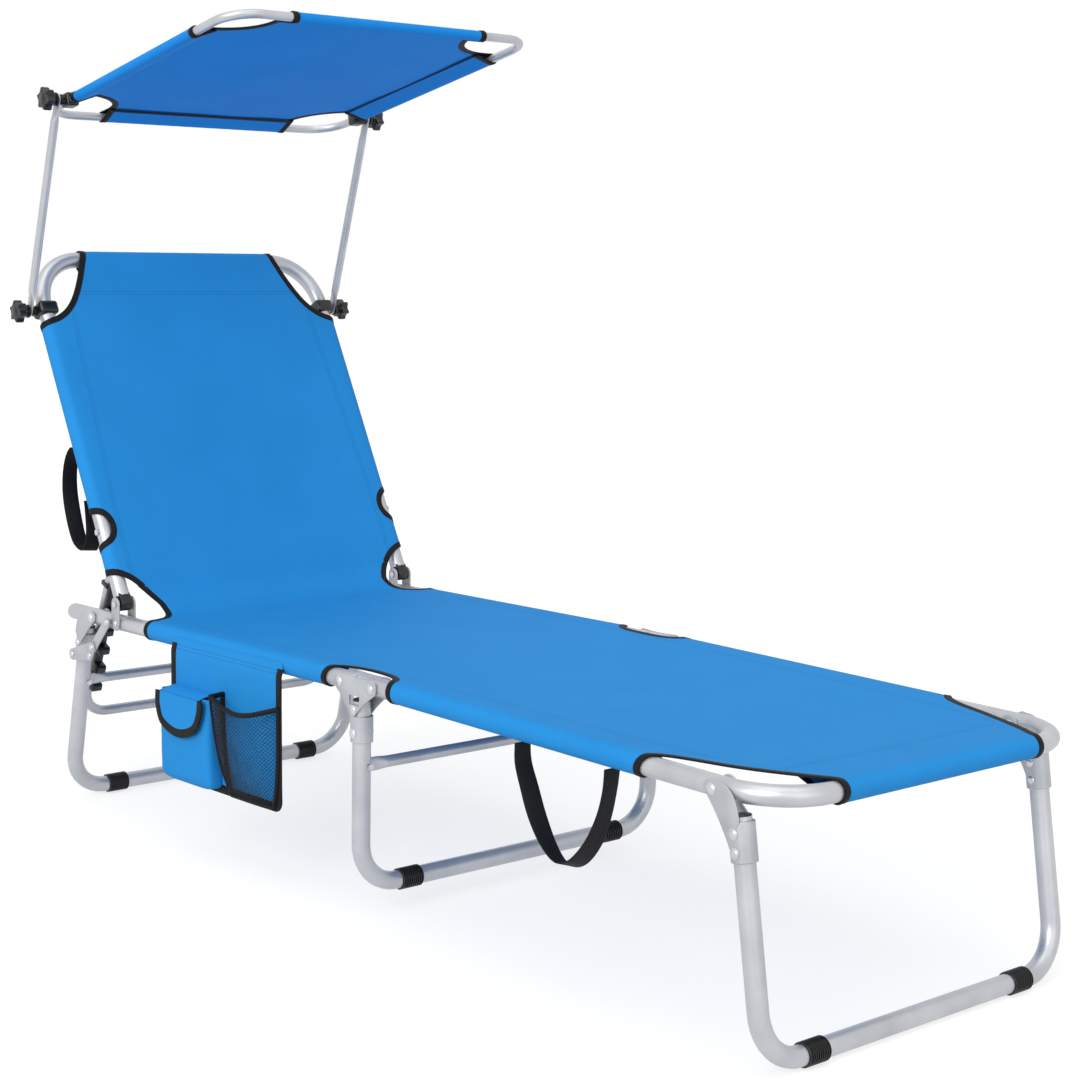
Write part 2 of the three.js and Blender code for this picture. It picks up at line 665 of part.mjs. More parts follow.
addPiece(
  midLeg,
  'mid_leg_frame',
  cut(
    legTube(MID_LEG_OFFSET, MID_TUBE_DROP, midLegDrop),
    ...braceCuts(MID_LEG_OFFSET, MID_BRACE_DROP),
    ...SIDES.flatMap(([, side]) => MID_RIVET_DROPS.map((drop) => railHole(MID_LEG_OFFSET, -drop, side))),
  ),
  finishes.tube,
);
addPiece(midLeg, 'mid_brace', braceTube(MID_LEG_OFFSET, MID_BRACE_DROP), finishes.tube);
for (const [name, side] of SIDES) {
  const rivets = [
    [0, 0],
    [footPivotAhead, footPivotRise],
    ...MID_RIVET_DROPS.map((drop) => [MID_LEG_OFFSET, -drop]),
  ];
  const whole = bracket(
    midBracketOutline(),
    midBracketOutline(),
    side,
    MID_LEG_OFFSET,
    MID_SLEEVE_TOP_DROP,
    MID_SLEEVE_END_DROP,
    rivets,
  );
  const windowed = cut(
    whole,
    sidePlate(midWindow(), side, OUTER_PLATE - CUT_OVERRUN, OUTER_FACE + CUT_OVERRUN),
  );
  addPiece(midLeg, `mid_bracket_${name}`, join(windowed, midStop(side)), finishes.bracket);
  addPiece(midLeg, `mid_pad_${name}`, footPad(MID_LEG_OFFSET, midLegDrop, side, 0), finishes.plastic);
  const bolt = braceBolt(MID_LEG_OFFSET, MID_BRACE_DROP, side);
  addPiece(midLeg, `mid_brace_bolt_${name}`, bolt, finishes.rivet);
}

// Rear leg under the backrest hinge
const rearPivotHeight = railHeight(-REAR_PIVOT_REACH, -SEAT_SLOPE);
const rearLeg = addJointFrame(group, 'rear_leg_fold', -REAR_PIVOT_REACH, rearPivotHeight, REAR_LEG_TILT);
const rearLegDrop = legDrop(rearPivotHeight, REAR_LEG_TILT, -REAR_LEG_OFFSET, 0);

addPiece(
  rearLeg,
  'rear_leg_frame',
  cut(
    legTube(-REAR_LEG_OFFSET, REAR_TUBE_DROP, rearLegDrop),
    ...braceCuts(-REAR_LEG_OFFSET, REAR_BRACE_DROP),
    ...SIDES.map(([, side]) => railHole(-REAR_LEG_OFFSET, -REAR_RIVET_DROP, side)),
    ...SIDES.map(([, side]) => railHole(-REAR_LEG_OFFSET, -LOCK_LEG_DROP, side)),
  ),
  finishes.tube,
);
addPiece(rearLeg, 'rear_brace', braceTube(-REAR_LEG_OFFSET, REAR_BRACE_DROP), finishes.tube);
for (const [name, side] of SIDES) {
  const geometry = bracket(
    gussetOutline(-REAR_LEG_OFFSET, REAR_SLEEVE_TOP_DROP, REAR_SLEEVE_END_DROP),
    innerGussetOutline(-REAR_LEG_OFFSET, REAR_SLEEVE_TOP_DROP, REAR_SLEEVE_END_DROP),
    side,
    -REAR_LEG_OFFSET,
    REAR_SLEEVE_TOP_DROP,
    REAR_SLEEVE_END_DROP,
    [[0, 0], [-REAR_LEG_OFFSET, -REAR_RIVET_DROP]],
  );
  addPiece(rearLeg, `rear_bracket_${name}`, geometry, finishes.bracket);
  const pad = footPad(-REAR_LEG_OFFSET, rearLegDrop, side, REAR_LEG_TILT);
  addPiece(rearLeg, `rear_pad_${name}`, pad, finishes.plastic);
  const bolt = braceBolt(-REAR_LEG_OFFSET, REAR_BRACE_DROP, side);
  addPiece(rearLeg, `rear_brace_bolt_${name}`, bolt, finishes.rivet);
}

// Places in the seat frame of points that are set out in the rear leg's frame
function rearLegPoint(ahead, drop) {
  rearLeg.updateWorldMatrix(true, false);
  return new THREE.Vector3(ahead, 0, -drop).applyMatrix4(rearLeg.matrixWorld);
}

const lockRail = new THREE.Vector3(-LOCK_RAIL_REACH, 0, railHeight(-LOCK_RAIL_REACH, -SEAT_SLOPE));
const lockKnee = rearLegPoint(LOCK_KNEE_AHEAD, LOCK_KNEE_DROP);
const lockLeg = rearLegPoint(-REAR_LEG_OFFSET, LOCK_LEG_DROP);
const lockStud = rearLegPoint(LOCK_STUD_AHEAD, LOCK_STUD_DROP);
const rearLink = addJointFrame(group, 'rear_link_turn', lockRail.x, lockRail.z, 0);
const rearToggle = addJointFrame(group, 'rear_toggle_turn', lockLeg.x, lockLeg.z, 0);

// Link bar with a boss that stands it off the rail, and a rivet into the rail
function lockLink(side) {
  const knee = lockKnee.clone().sub(lockRail);
  const bar = wrapDiscs([[0, 0, LOCK_LINK_WIDTH / 2], [knee.x, knee.z, LOCK_LINK_WIDTH / 2]]);
  const far = LINK_LAYER + PLATE_THICKNESS;
  const head = RIVET_HEAD_DIAMETER / 2;
  return join(
    sidePlate(bar, side, LINK_LAYER, far),
    crossPin(0, 0, side, OUTER_PLATE, LINK_LAYER + CLEARANCE, head),
    crossPin(0, 0, side, INNER_PLATE - RIVET_HEAD_HEIGHT / 2, far, PIN_RADIUS),
    crossPin(0, 0, side, far - CLEARANCE, far + RIVET_HEAD_HEIGHT, head),
    crossPin(0, 0, side, INNER_PLATE - RIVET_HEAD_HEIGHT, INNER_PLATE, head),
  );
}

// Toggle plate with its three rivets; the one at the leg runs through the leg tube
function lockPlate(side) {
  const knee = lockKnee.clone().sub(lockLeg);
  const stud = lockStud.clone().sub(lockLeg);
  const shape = wrapDiscs([
    [0, 0, LOCK_PLATE_RADIUS],
    [knee.x, knee.z, LOCK_PLATE_RADIUS],
    [stud.x, stud.z, LOCK_STUD_RADIUS],
  ]);
  const far = TOGGLE_LAYER + PLATE_THICKNESS;
  const head = RIVET_HEAD_DIAMETER / 2;
  return join(
    sidePlate(shape, side, TOGGLE_LAYER, far),
    crossPin(0, 0, side, OUTER_PLATE, TOGGLE_LAYER + CLEARANCE, head),
    crossPin(0, 0, side, INNER_PLATE - RIVET_HEAD_HEIGHT / 2, far, PIN_RADIUS),
    crossPin(0, 0, side, INNER_PLATE - RIVET_HEAD_HEIGHT, INNER_PLATE, head),
    crossPin(0, 0, side, far - CLEARANCE, far + RIVET_HEAD_HEIGHT, head),
    crossPin(knee.x, knee.z, side, far - CLEARANCE, far + RIVET_HEAD_HEIGHT, head),
    crossPin(stud.x, stud.z, side, far - CLEARANCE, far + RIVET_HEAD_HEIGHT, head),
  );
}

for (const [name, side] of SIDES) {
  addPiece(rearLink, `rear_link_${name}`, lockLink(side), finishes.bracket);
  addPiece(rearToggle, `rear_toggle_${name}`, lockPlate(side), finishes.bracket);
}

// Seat rails, closed by a dome at the head end and open at the middle joint
function seatRail(side) {
  const outer = TUBE_RADIUS;
  const inner = TUBE_RADIUS - TUBE_WALL;
  const openEnd = RAIL_END_GAP / 2;
  const domeStart = SEAT_LENGTH - outer;
  const profile = [new THREE.Vector2(0, domeStart)];
  profile.push(new THREE.Vector2(inner, domeStart));
  profile.push(new THREE.Vector2(inner, openEnd));
  profile.push(new THREE.Vector2(outer, openEnd));
  for (let step = 0; step < BEND_STEPS; step += 1) {
    const angle = (Math.PI / 2) * (step / BEND_STEPS);
    profile.push(new THREE.Vector2(outer * Math.cos(angle), domeStart + outer * Math.sin(angle)));
  }
  profile.push(new THREE.Vector2(0, SEAT_LENGTH));
  const tube = new THREE.LatheGeometry(profile, TUBE_SIDES, Math.PI / TUBE_SIDES);
  tube.rotateZ(Math.PI / 2);
  tube.translate(0, side * RAIL_Y, 0);
  const along = (x) => -x / cosine(SEAT_SLOPE);
  return cut(
    tube,
    railHole(along(MID_PIVOT_REACH), 0, side),
    railHole(along(REAR_PIVOT_REACH), 0, side),
    railHole(along(LOCK_RAIL_REACH), 0, side),
    railHole(along(HINGE_REACH), 0, side),
  );
}

// Side sleeves and panel of a taut sling, as one section across the lounger
function slingSection() {
  const foldAngle = Math.asin((SLING_RADIUS - CLOTH_THICKNESS) / SLING_RADIUS);
  const half = [];
  const turn = 2 * Math.PI - (Math.PI / 2 - foldAngle);
  for (let i = 0; i <= TUBE_SIDES; i += 1) {
    const angle = Math.PI / 2 - (turn * i) / TUBE_SIDES;
    half.push([RAIL_Y + SLING_RADIUS * Math.cos(angle), SLING_RADIUS * Math.sin(angle)]);
  }
  const outline = [
    ...half.map(([y, z]) => new THREE.Vector2(y, z)),
    ...[...half].reverse().map(([y, z]) => new THREE.Vector2(-y, z)),
  ];
  const shape = new THREE.Shape(outline);
  const bore = SLING_BORE / Math.cos(Math.PI / TUBE_SIDES);
  for (const [, side] of SIDES) {
    shape.holes.push(new THREE.Path(discPoints(side * RAIL_Y, 0, bore, TUBE_SIDES, Math.PI / TUBE_SIDES)));
  }
  return shape;
}

// A stretch of sling along a rail frame, between two places on its X axis
function slingRun(start, end) {
  const geometry = new THREE.ExtrudeGeometry(slingSection(), { depth: end - start, bevelEnabled: false });
  geometry.applyMatrix4(new THREE.Matrix4().makeBasis(
    new THREE.Vector3(0, 1, 0),
    new THREE.Vector3(0, 0, 1),
    new THREE.Vector3(1, 0, 0),
  ));
  return geometry.translate(start, 0, 0);
}

// A block that bares the rail along a stretch, down to a given depth inboard of its centre line
function railCut(start, end, depth, side) {
  const near = RAIL_Y - depth;
  const far = RAIL_Y + SLING_RADIUS + CUT_OVERRUN;
  const [low, high] = side > 0 ? [near, far] : [-far, -near];
  const reach = SLING_RADIUS + CUT_OVERRUN;
  return box(start, end, low, high, -reach, reach);
}

// A round-ended cut in the edge of a sling
function roundCut(x, y, radius) {
  const reach = SLING_RADIUS + CUT_OVERRUN;
  const geometry = new THREE.CylinderGeometry(radius, radius, 2 * reach, DISC_SIDES);
  geometry.rotateX(Math.PI / 2);
  return geometry.translate(x, y, 0);
}

const seatSling = cut(
  slingRun(-SEAT_SLING_REAR, -SLING_JOINT_GAP / 2),
  ...SIDES.flatMap(([, side]) => [
    railCut(-MID_CUT_REACH, 0, MID_CUT_DEPTH, side),
    railCut(-SEAT_SLING_REAR - CUT_OVERRUN, -SEAT_SLING_CUT_REAR, SEAT_SLING_CUT_DEPTH, side),
  ]),
);
addPiece(seat, 'seat_sling', seatSling, finishes.sling);
for (const [name, side] of SIDES) {
  addPiece(seat, `seat_rail_${name}`, seatRail(side), finishes.tube);
}

// Foot section: a U of tube, its leg and its sling
const footEnd = FOOT_LENGTH;
const footRailStart = RAIL_END_GAP / 2;
const footCorners = [
  new THREE.Vector3(footRailStart, -RAIL_Y, 0),
  new THREE.Vector3(footEnd, -RAIL_Y, 0),
  new THREE.Vector3(footEnd, RAIL_Y, 0),
  new THREE.Vector3(footRailStart, RAIL_Y, 0),
];
const footAlong = (x) => x / cosine(FOOT_SLOPE);
addPiece(
  foot,
  'foot_frame',
  cut(
    sweptTube(footCorners, FRAME_CORNER_RADIUS, TUBE_RADIUS, TUBE_WALL),
    ...SIDES.flatMap(([, side]) => [
      railHole(footAlong(footPivotX), 0, side),
      railHole(footAlong(FOOT_PIVOT_REACH), 0, side),
    ]),
  ),
  finishes.tube,
);

// The sleeve that a panel has round a frame's end bar
function endSleeve(barX, half) {
  const bar = new THREE.CylinderGeometry(SLING_RADIUS, SLING_RADIUS, 2 * half, DISC_SIDES);
  return bar.translate(barX, 0, 0);
}

function endBore(barX) {
  const radius = SLING_BORE / Math.cos(Math.PI / DISC_SIDES);
  const bar = new THREE.CylinderGeometry(radius, radius, RAIL_SPACING, DISC_SIDES);
  return bar.translate(barX, 0, 0);
}

const footSling = cut(
  join(slingRun(SLING_JOINT_GAP / 2, footEnd), endSleeve(footEnd, END_SLEEVE_HALF)),
  endBore(footEnd),
  ...SIDES.flatMap(([, side]) => [
    railCut(0, footPivotX + LOBE_RADIUS + RAIL_END_GAP + FOOT_CUT_REACH, MID_CUT_DEPTH, side),
    railCut(FOOT_SLING_CUT, footEnd + 2 * SLING_RADIUS, FOOT_SLING_CUT_DEPTH, side),
    railCut(footEnd - TUBE_DIAMETER, footEnd + 2 * SLING_RADIUS, RAIL_Y - END_SLEEVE_HALF, side),
  ]),
);
addPiece(foot, 'foot_sling', footSling, finishes.sling);

const footLegPivotHeight = railHeight(FOOT_PIVOT_REACH, FOOT_SLOPE);
const footLeg = addJointFrame(group, 'foot_leg_fold', FOOT_PIVOT_REACH, footLegPivotHeight, FOOT_LEG_TILT);
const footLegDrop = legDrop(footLegPivotHeight, FOOT_LEG_TILT, FOOT_LEG_OFFSET, 0);
addPiece(
  footLeg,
  'foot_leg_frame',
  cut(
    legTube(FOOT_LEG_OFFSET, FOOT_TUBE_DROP, footLegDrop),
    ...SIDES.flatMap(([, side]) => FOOT_RIVET_DROPS.map((drop) => railHole(FOOT_LEG_OFFSET, -drop, side))),
  ),
  finishes.tube,
);
for (const [name, side] of SIDES) {
  const geometry = bracket(
    gussetOutline(FOOT_LEG_OFFSET, FOOT_SLEEVE_TOP_DROP, FOOT_SLEEVE_END_DROP),
    innerGussetOutline(FOOT_LEG_OFFSET, FOOT_SLEEVE_TOP_DROP, FOOT_SLEEVE_END_DROP),
    side,
    FOOT_LEG_OFFSET,
    FOOT_SLEEVE_TOP_DROP,
    FOOT_SLEEVE_END_DROP,
    [[0, 0], ...FOOT_RIVET_DROPS.map((drop) => [FOOT_LEG_OFFSET, -drop])],
  );
  addPiece(footLeg, `foot_bracket_${name}`, geometry, finishes.bracket);
  const pad = footPad(FOOT_LEG_OFFSET, footLegDrop, side, FOOT_LEG_TILT);
  addPiece(footLeg, `foot_pad_${name}`, pad, finishes.plastic);
}

// Backrest hinge: two plates on each rail, one rivet in the rail and a pin for the backrest
const hingeHeight = railHeight(-HINGE_REACH, -SEAT_SLOPE) + HINGE_RISE;
const backrest = addJointFrame(group, 'backrest_fold', -HINGE_REACH, hingeHeight, BACKREST_ANGLE);

function hingePlates(side) {
  const half = HINGE_PLATE_WIDTH / 2;
  const outline = wrapDiscs([[0, 0, half], [0, HINGE_RISE, half]]);
  const plates = join(
    sidePlate(outline, side, OUTER_PLATE, OUTER_FACE),
    sidePlate(outline, side, INNER_FACE, INNER_PLATE),
    ...plateRivet(0, 0, side),
  );
  const reach = INNER_FACE - CUT_OVERRUN;
  const drilled = cut(
    plates,
    crossHole(0, HINGE_RISE, side, reach, OUTER_FACE + CUT_OVERRUN, HINGE_PIN_DIAMETER / 2),
  );
  return drilled.translate(-HINGE_REACH, 0, hingeHeight - HINGE_RISE);
}

for (const [name, side] of SIDES) {
  addPiece(group, `back_hinge_${name}`, hingePlates(side), finishes.bracket);
}

// A headed pin across one side of the lounger, centred on its frame's own Y axis
function headedPin(side, near, far, diameter) {
  const head = diameter / 2 + PLATE_THICKNESS / 2;
  return join(
    crossPin(0, 0, side, near, far, diameter / 2),
    crossPin(0, 0, side, far, far + RIVET_HEAD_HEIGHT, head),
    crossPin(0, 0, side, near - RIVET_HEAD_HEIGHT, near, head),
  );
}

for (const [name, side] of SIDES) {
  const pin = headedPin(side, INNER_FACE - CLEARANCE, OUTER_FACE + CLEARANCE, HINGE_PIN_DIAMETER);
  addPiece(backrest, `back_pivot_${name}`, pin, finishes.rivet);
}

// Backrest tube: an upside-down U that runs along -X in the backrest's own frame. Its lower
// ends hold black plugs, through which the hinge pins pass.
const backCorners = [
  new THREE.Vector3(-BACK_TUBE_START, -RAIL_Y, 0),
  new THREE.Vector3(-BACKREST_LENGTH, -RAIL_Y, 0),
  new THREE.Vector3(-BACKREST_LENGTH, RAIL_Y, 0),
  new THREE.Vector3(-BACK_TUBE_START, RAIL_Y, 0),
];
addPiece(
  backrest,
  'back_frame',
  cut(
    sweptTube(backCorners, FRAME_CORNER_RADIUS, TUBE_RADIUS, TUBE_WALL),
    ...SIDES.map(([, side]) => railHole(-PROP_REACH, 0, side, PROP_PIN_DIAMETER / 2)),
  ),
  finishes.tube,
);

// The plug in a lower end of the backrest tube, flattened to pass between the hinge plates
function backPlug(side) {
  const radius = (TUBE_RADIUS - TUBE_WALL) * Math.cos(Math.PI / BORE_SIDES) - CLEARANCE;
  const shank = new THREE.CylinderGeometry(radius, radius, 2 * TUBE_DIAMETER, TUBE_SIDES);
  shank.rotateZ(Math.PI / 2);
  shank.translate(-TUBE_DIAMETER, side * RAIL_Y, 0);
  const half = HINGE_PLATE_WIDTH / 2;
  const outline = wrapDiscs([[0, 0, half], [-BACK_TUBE_START + CLEARANCE + PIN_RADIUS, 0, half]]);
  const eye = sidePlate(outline, side, RAIL_Y - radius, RAIL_Y + radius);
  const tubeRoom = new THREE.CylinderGeometry(2 * TUBE_RADIUS, 2 * TUBE_RADIUS, TUBE_DIAMETER, TUBE_SIDES);
  tubeRoom.rotateZ(Math.PI / 2);
  tubeRoom.translate(-BACK_TUBE_START + CLEARANCE - TUBE_RADIUS, side * RAIL_Y, 0);
  const hole = crossHole(0, 0, side, RAIL_Y - TUBE_RADIUS, RAIL_Y + TUBE_RADIUS, HINGE_PIN_DIAMETER / 2);
  return cut(join(cut(eye, tubeRoom), shank), hole);
}

for (const [name, side] of SIDES) {
  addPiece(backrest, `back_plug_${name}`, backPlug(side), finishes.plastic);
}

// Room in the sleeve behind the tube for the prop's pivot
function propPinRoom(side) {
  const half = PROP_HUB_DIAMETER / 2 + CLEARANCE;
  const near = RAIL_Y - SLING_RADIUS - CUT_OVERRUN;
  const [low, high] = side > 0 ? [near, RAIL_Y] : [-RAIL_Y, -near];
  return box(-PROP_REACH - half, -PROP_REACH + half, low, high, -SLING_RADIUS - CUT_OVERRUN, half);
}

const backTopEdge = -BACKREST_LENGTH - 2 * SLING_RADIUS;
const backSling = cut(
  join(slingRun(-BACKREST_LENGTH, -BACK_SLING_START), endSleeve(-BACKREST_LENGTH, END_SLEEVE_HALF)),
  endBore(-BACKREST_LENGTH),
  ...SIDES.flatMap(([, side]) => [
    railCut(-BACK_SLING_CUT, 0, SEAT_SLING_CUT_DEPTH, side),
    railCut(backTopEdge, -BACK_SLING_TOP_CUT, SEAT_SLING_CUT_DEPTH - TUBE_DIAMETER, side),
    railCut(
      backTopEdge,
      -BACKREST_LENGTH + TUBE_DIAMETER + SLING_RADIUS,
      RAIL_Y - END_SLEEVE_HALF,
      side,
    ),
    roundCut(-PROP_REACH, side * (RAIL_Y + SLING_RADIUS), BACK_NOTCH_RADIUS),
    propPinRoom(side),
  ]),
);
addPiece(backrest, 'back_sling', backSling, finishes.sling);

// Prop: a U of 16 mm tube that swings on the backrest and stands on the rear brace
const propFrameTurn = PROP_TILT - BACKREST_ANGLE;
const prop = addJointFrame(backrest, 'prop_swing', -PROP_REACH, 0, propFrameTurn);
const propHubNear = PROP_Y - PROP_HUB_THICKNESS / 2;
const propHubFar = PROP_Y + PROP_HUB_THICKNESS / 2;

for (const [name, side] of SIDES) {
  const near = propHubNear - CLEARANCE;
  const far = RAIL_Y + TUBE_RADIUS + CLEARANCE;
  addPiece(prop, `prop_pivot_${name}`, headedPin(side, near, far, PROP_PIN_DIAMETER), finishes.rivet);
}

const propCorners = [
  new THREE.Vector3(0, -PROP_Y, -PROP_HUB_DIAMETER / 2),
  new THREE.Vector3(0, -PROP_Y, -PROP_LENGTH),
  new THREE.Vector3(0, PROP_Y, -PROP_LENGTH),
  new THREE.Vector3(0, PROP_Y, -PROP_HUB_DIAMETER / 2),
];
const propHubs = SIDES.map(([, side]) => sidePlate(
  wrapDiscs([[0, 0, PROP_HUB_DIAMETER / 2], [0, -PROP_HUB_DIAMETER, BRACE_RADIUS]]),
  side,
  propHubNear,
  propHubFar,
));
const propHoles = SIDES.map(([, side]) => crossHole(
  0,
  0,
  side,
  PROP_Y - BRACE_DIAMETER,
  PROP_Y + BRACE_DIAMETER,
  PROP_PIN_DIAMETER / 2,
));
const propTube = sweptTube(propCorners, PROP_CORNER_RADIUS, BRACE_RADIUS, BRACE_WALL);
addPiece(prop, 'prop_frame', cut(join(propTube, ...propHubs), ...propHoles), finishes.tube);

// Rack on the front of each side of the prop: a spine with teeth between the notches
function rackOutline() {
  const back = BRACE_RADIUS + CLEARANCE;
  const spine = back + RACK_SPINE;
  const tip = spine + RACK_TOOTH_DEPTH;
  const shape = new THREE.Shape();
  shape.moveTo(back, -RACK_END);
  shape.lineTo(spine, -RACK_END);
  for (let i = 0; i < RACK_NOTCHES; i += 1) {
    const toothCentre = RACK_LOW_NOTCH + RACK_PITCH / 2 - i * RACK_PITCH;
    const root = RACK_TOOTH_ROOT / 2;
    const crest = RACK_TOOTH_TIP / 2;
    shape.lineTo(spine, -Math.min(toothCentre + root, RACK_END - CLEARANCE));
    shape.lineTo(tip, -Math.min(toothCentre + crest, RACK_END - CLEARANCE));
    shape.lineTo(tip, -toothCentre + crest);
    shape.lineTo(spine, -toothCentre + root);
  }
  shape.lineTo(spine, -RACK_START);
  shape.lineTo(back, -RACK_START);
  return shape;
}

for (const [name, side] of SIDES) {
  const near = PROP_Y - RACK_WIDTH / 2;
  const rack = sidePlate(rackOutline(), side, near, near + RACK_WIDTH);
  addPiece(prop, `prop_rack_${name}`, rack, finishes.plastic);
}

// Canopy arms, clamped to the backrest tube low down and to the canopy frame at the top
const armPivot = new THREE.Vector3(-CANOPY_ARM_REACH, 0, -CANOPY_ARM_BEHIND);
const armsTurn = CANOPY_ARM_LEAN - BACKREST_ANGLE;
const arms = addJointFrame(backrest, 'canopy_arms_tilt', armPivot.x, armPivot.z, armsTurn);
const armInner = ARM_Y - CANOPY_ARM_THICKNESS / 2;
const armOuter = ARM_Y + CANOPY_ARM_THICKNESS / 2;

function canopyArm(side) {
  const half = CANOPY_ARM_WIDTH / 2;
  const ends = [0, CANOPY_ARM_LENGTH].map((z) => {
    const inward = z === 0 ? CANOPY_ARM_FLAT : CANOPY_ARM_LENGTH - CANOPY_ARM_FLAT;
    return sidePlate(wrapDiscs([[0, z, half], [0, inward, half]]), side, armInner, armOuter);
  });
  const tube = straightTube(
    new THREE.Vector3(0, side * ARM_Y, CANOPY_ARM_FLAT),
    new THREE.Vector3(0, side * ARM_Y, CANOPY_ARM_LENGTH - CANOPY_ARM_FLAT),
    CANOPY_TUBE_RADIUS,
    CANOPY_TUBE_WALL,
  );
  const holes = [0, CANOPY_ARM_LENGTH].map((z) => crossHole(
    0,
    z,
    side,
    armInner - CUT_OVERRUN,
    armOuter + CUT_OVERRUN,
    KNOB_SHAFT_DIAMETER / 2,
  ));
  return cut(join(tube, ...ends), ...holes);
}

// A star knob with its shaft, which screws into the clamp behind the arm
function starKnob(side, shaftEnd) {
  const shape = new THREE.Shape();
  const steps = STEPS_PER_LOBE * KNOB_LOBES;
  const middle = KNOB_DIAMETER / 2 - KNOB_LOBE_DEPTH / 2;
  const points = [];
  for (let i = 0; i < steps; i += 1) {
    const angle = (2 * Math.PI * i) / steps;
    const radius = middle + (KNOB_LOBE_DEPTH / 2) * Math.cos(KNOB_LOBES * angle);
    points.push(new THREE.Vector2(radius * Math.cos(angle), radius * Math.sin(angle)));
  }
  shape.setFromPoints(points);
  const start = armOuter + KNOB_STAND_OFF;
  const collarRadius = KNOB_COLLAR_DIAMETER / 2;
  return join(
    sidePlate(shape, side, start, start + KNOB_THICKNESS),
    crossPin(0, 0, side, armOuter + CLEARANCE, start + CLEARANCE, collarRadius, TUBE_SIDES),
    crossPin(0, 0, side, shaftEnd, start, KNOB_SHAFT_DIAMETER / 2),
  );
}

// A clamp block round a tube along X, with a boss that the arm turns against
function clampBlock(tubeRadius, tubeY, side, bossX, bossZ) {
  const bore = tubeRadius + CLEARANCE;
  const outer = bore + CLAMP_WALL;
  const half = CLAMP_WIDTH / 2;
  const far = armInner - CLEARANCE;
  const [low, high] = side > 0 ? [tubeY - outer, tubeY + outer] : [-tubeY - outer, -tubeY + outer];
  const block = box(-half, half, low, high, -outer, outer);
  const boss = crossPin(bossX, bossZ, side, tubeY, far, half - CLAMP_WALL, TUBE_SIDES);
  const boreTool = new THREE.CylinderGeometry(
    bore / Math.cos(Math.PI / TUBE_SIDES),
    bore / Math.cos(Math.PI / TUBE_SIDES),
    CLAMP_WIDTH + CUT_OVERRUN,
    TUBE_SIDES,
  );
  boreTool.rotateZ(Math.PI / 2);
  boreTool.translate(0, side * tubeY, 0);
  const shaftRoom = crossHole(
    bossX,
    bossZ,
    side,
    tubeY + bore + CLAMP_WALL / 2,
    far + CUT_OVERRUN,
    KNOB_SHAFT_DIAMETER / 2,
  );
  return cut(join(block, boss), boreTool, shaftRoom);
}

const lowerKnobShaftEnd = RAIL_Y + TUBE_RADIUS + CLEARANCE + CLAMP_WALL / 2 + CLEARANCE;
const upperKnobShaftEnd = CANOPY_Y + CANOPY_TUBE_RADIUS + CLEARANCE + CLAMP_WALL / 2 + CLEARANCE;
for (const [name, side] of SIDES) {
  const clamp = clampBlock(TUBE_RADIUS, RAIL_Y, side, 0, -CANOPY_ARM_BEHIND);
  addPiece(backrest, `arm_clamp_${name}`, clamp.translate(-CANOPY_ARM_REACH, 0, 0), finishes.plastic);
  addPiece(arms, `canopy_arm_${name}`, canopyArm(side), finishes.tube);
  addPiece(arms, `lower_knob_${name}`, starKnob(side, lowerKnobShaftEnd), finishes.plastic);
}

// Canopy frame: a rectangle of 13 mm tube whose two ends meet behind the head
const canopy = addJointFrame(arms, 'canopy_tilt', 0, CANOPY_ARM_LENGTH, -CANOPY_TILT - CANOPY_ARM_LEAN);
const seam = CANOPY_SEAM_GAP / 2;
const canopyCorners = [
  new THREE.Vector3(-CANOPY_REAR, seam, 0),
  new THREE.Vector3(-CANOPY_REAR, CANOPY_Y, 0),
  new THREE.Vector3(CANOPY_FRONT, CANOPY_Y, 0),
  new THREE.Vector3(CANOPY_FRONT, -CANOPY_Y, 0),
  new THREE.Vector3(-CANOPY_REAR, -CANOPY_Y, 0),
  new THREE.Vector3(-CANOPY_REAR, -seam, 0),
];
addPiece(
  canopy,
  'canopy_frame',
  sweptTube(canopyCorners, CANOPY_CORNER_RADIUS, CANOPY_TUBE_RADIUS, CANOPY_TUBE_WALL),
  finishes.tube,
);

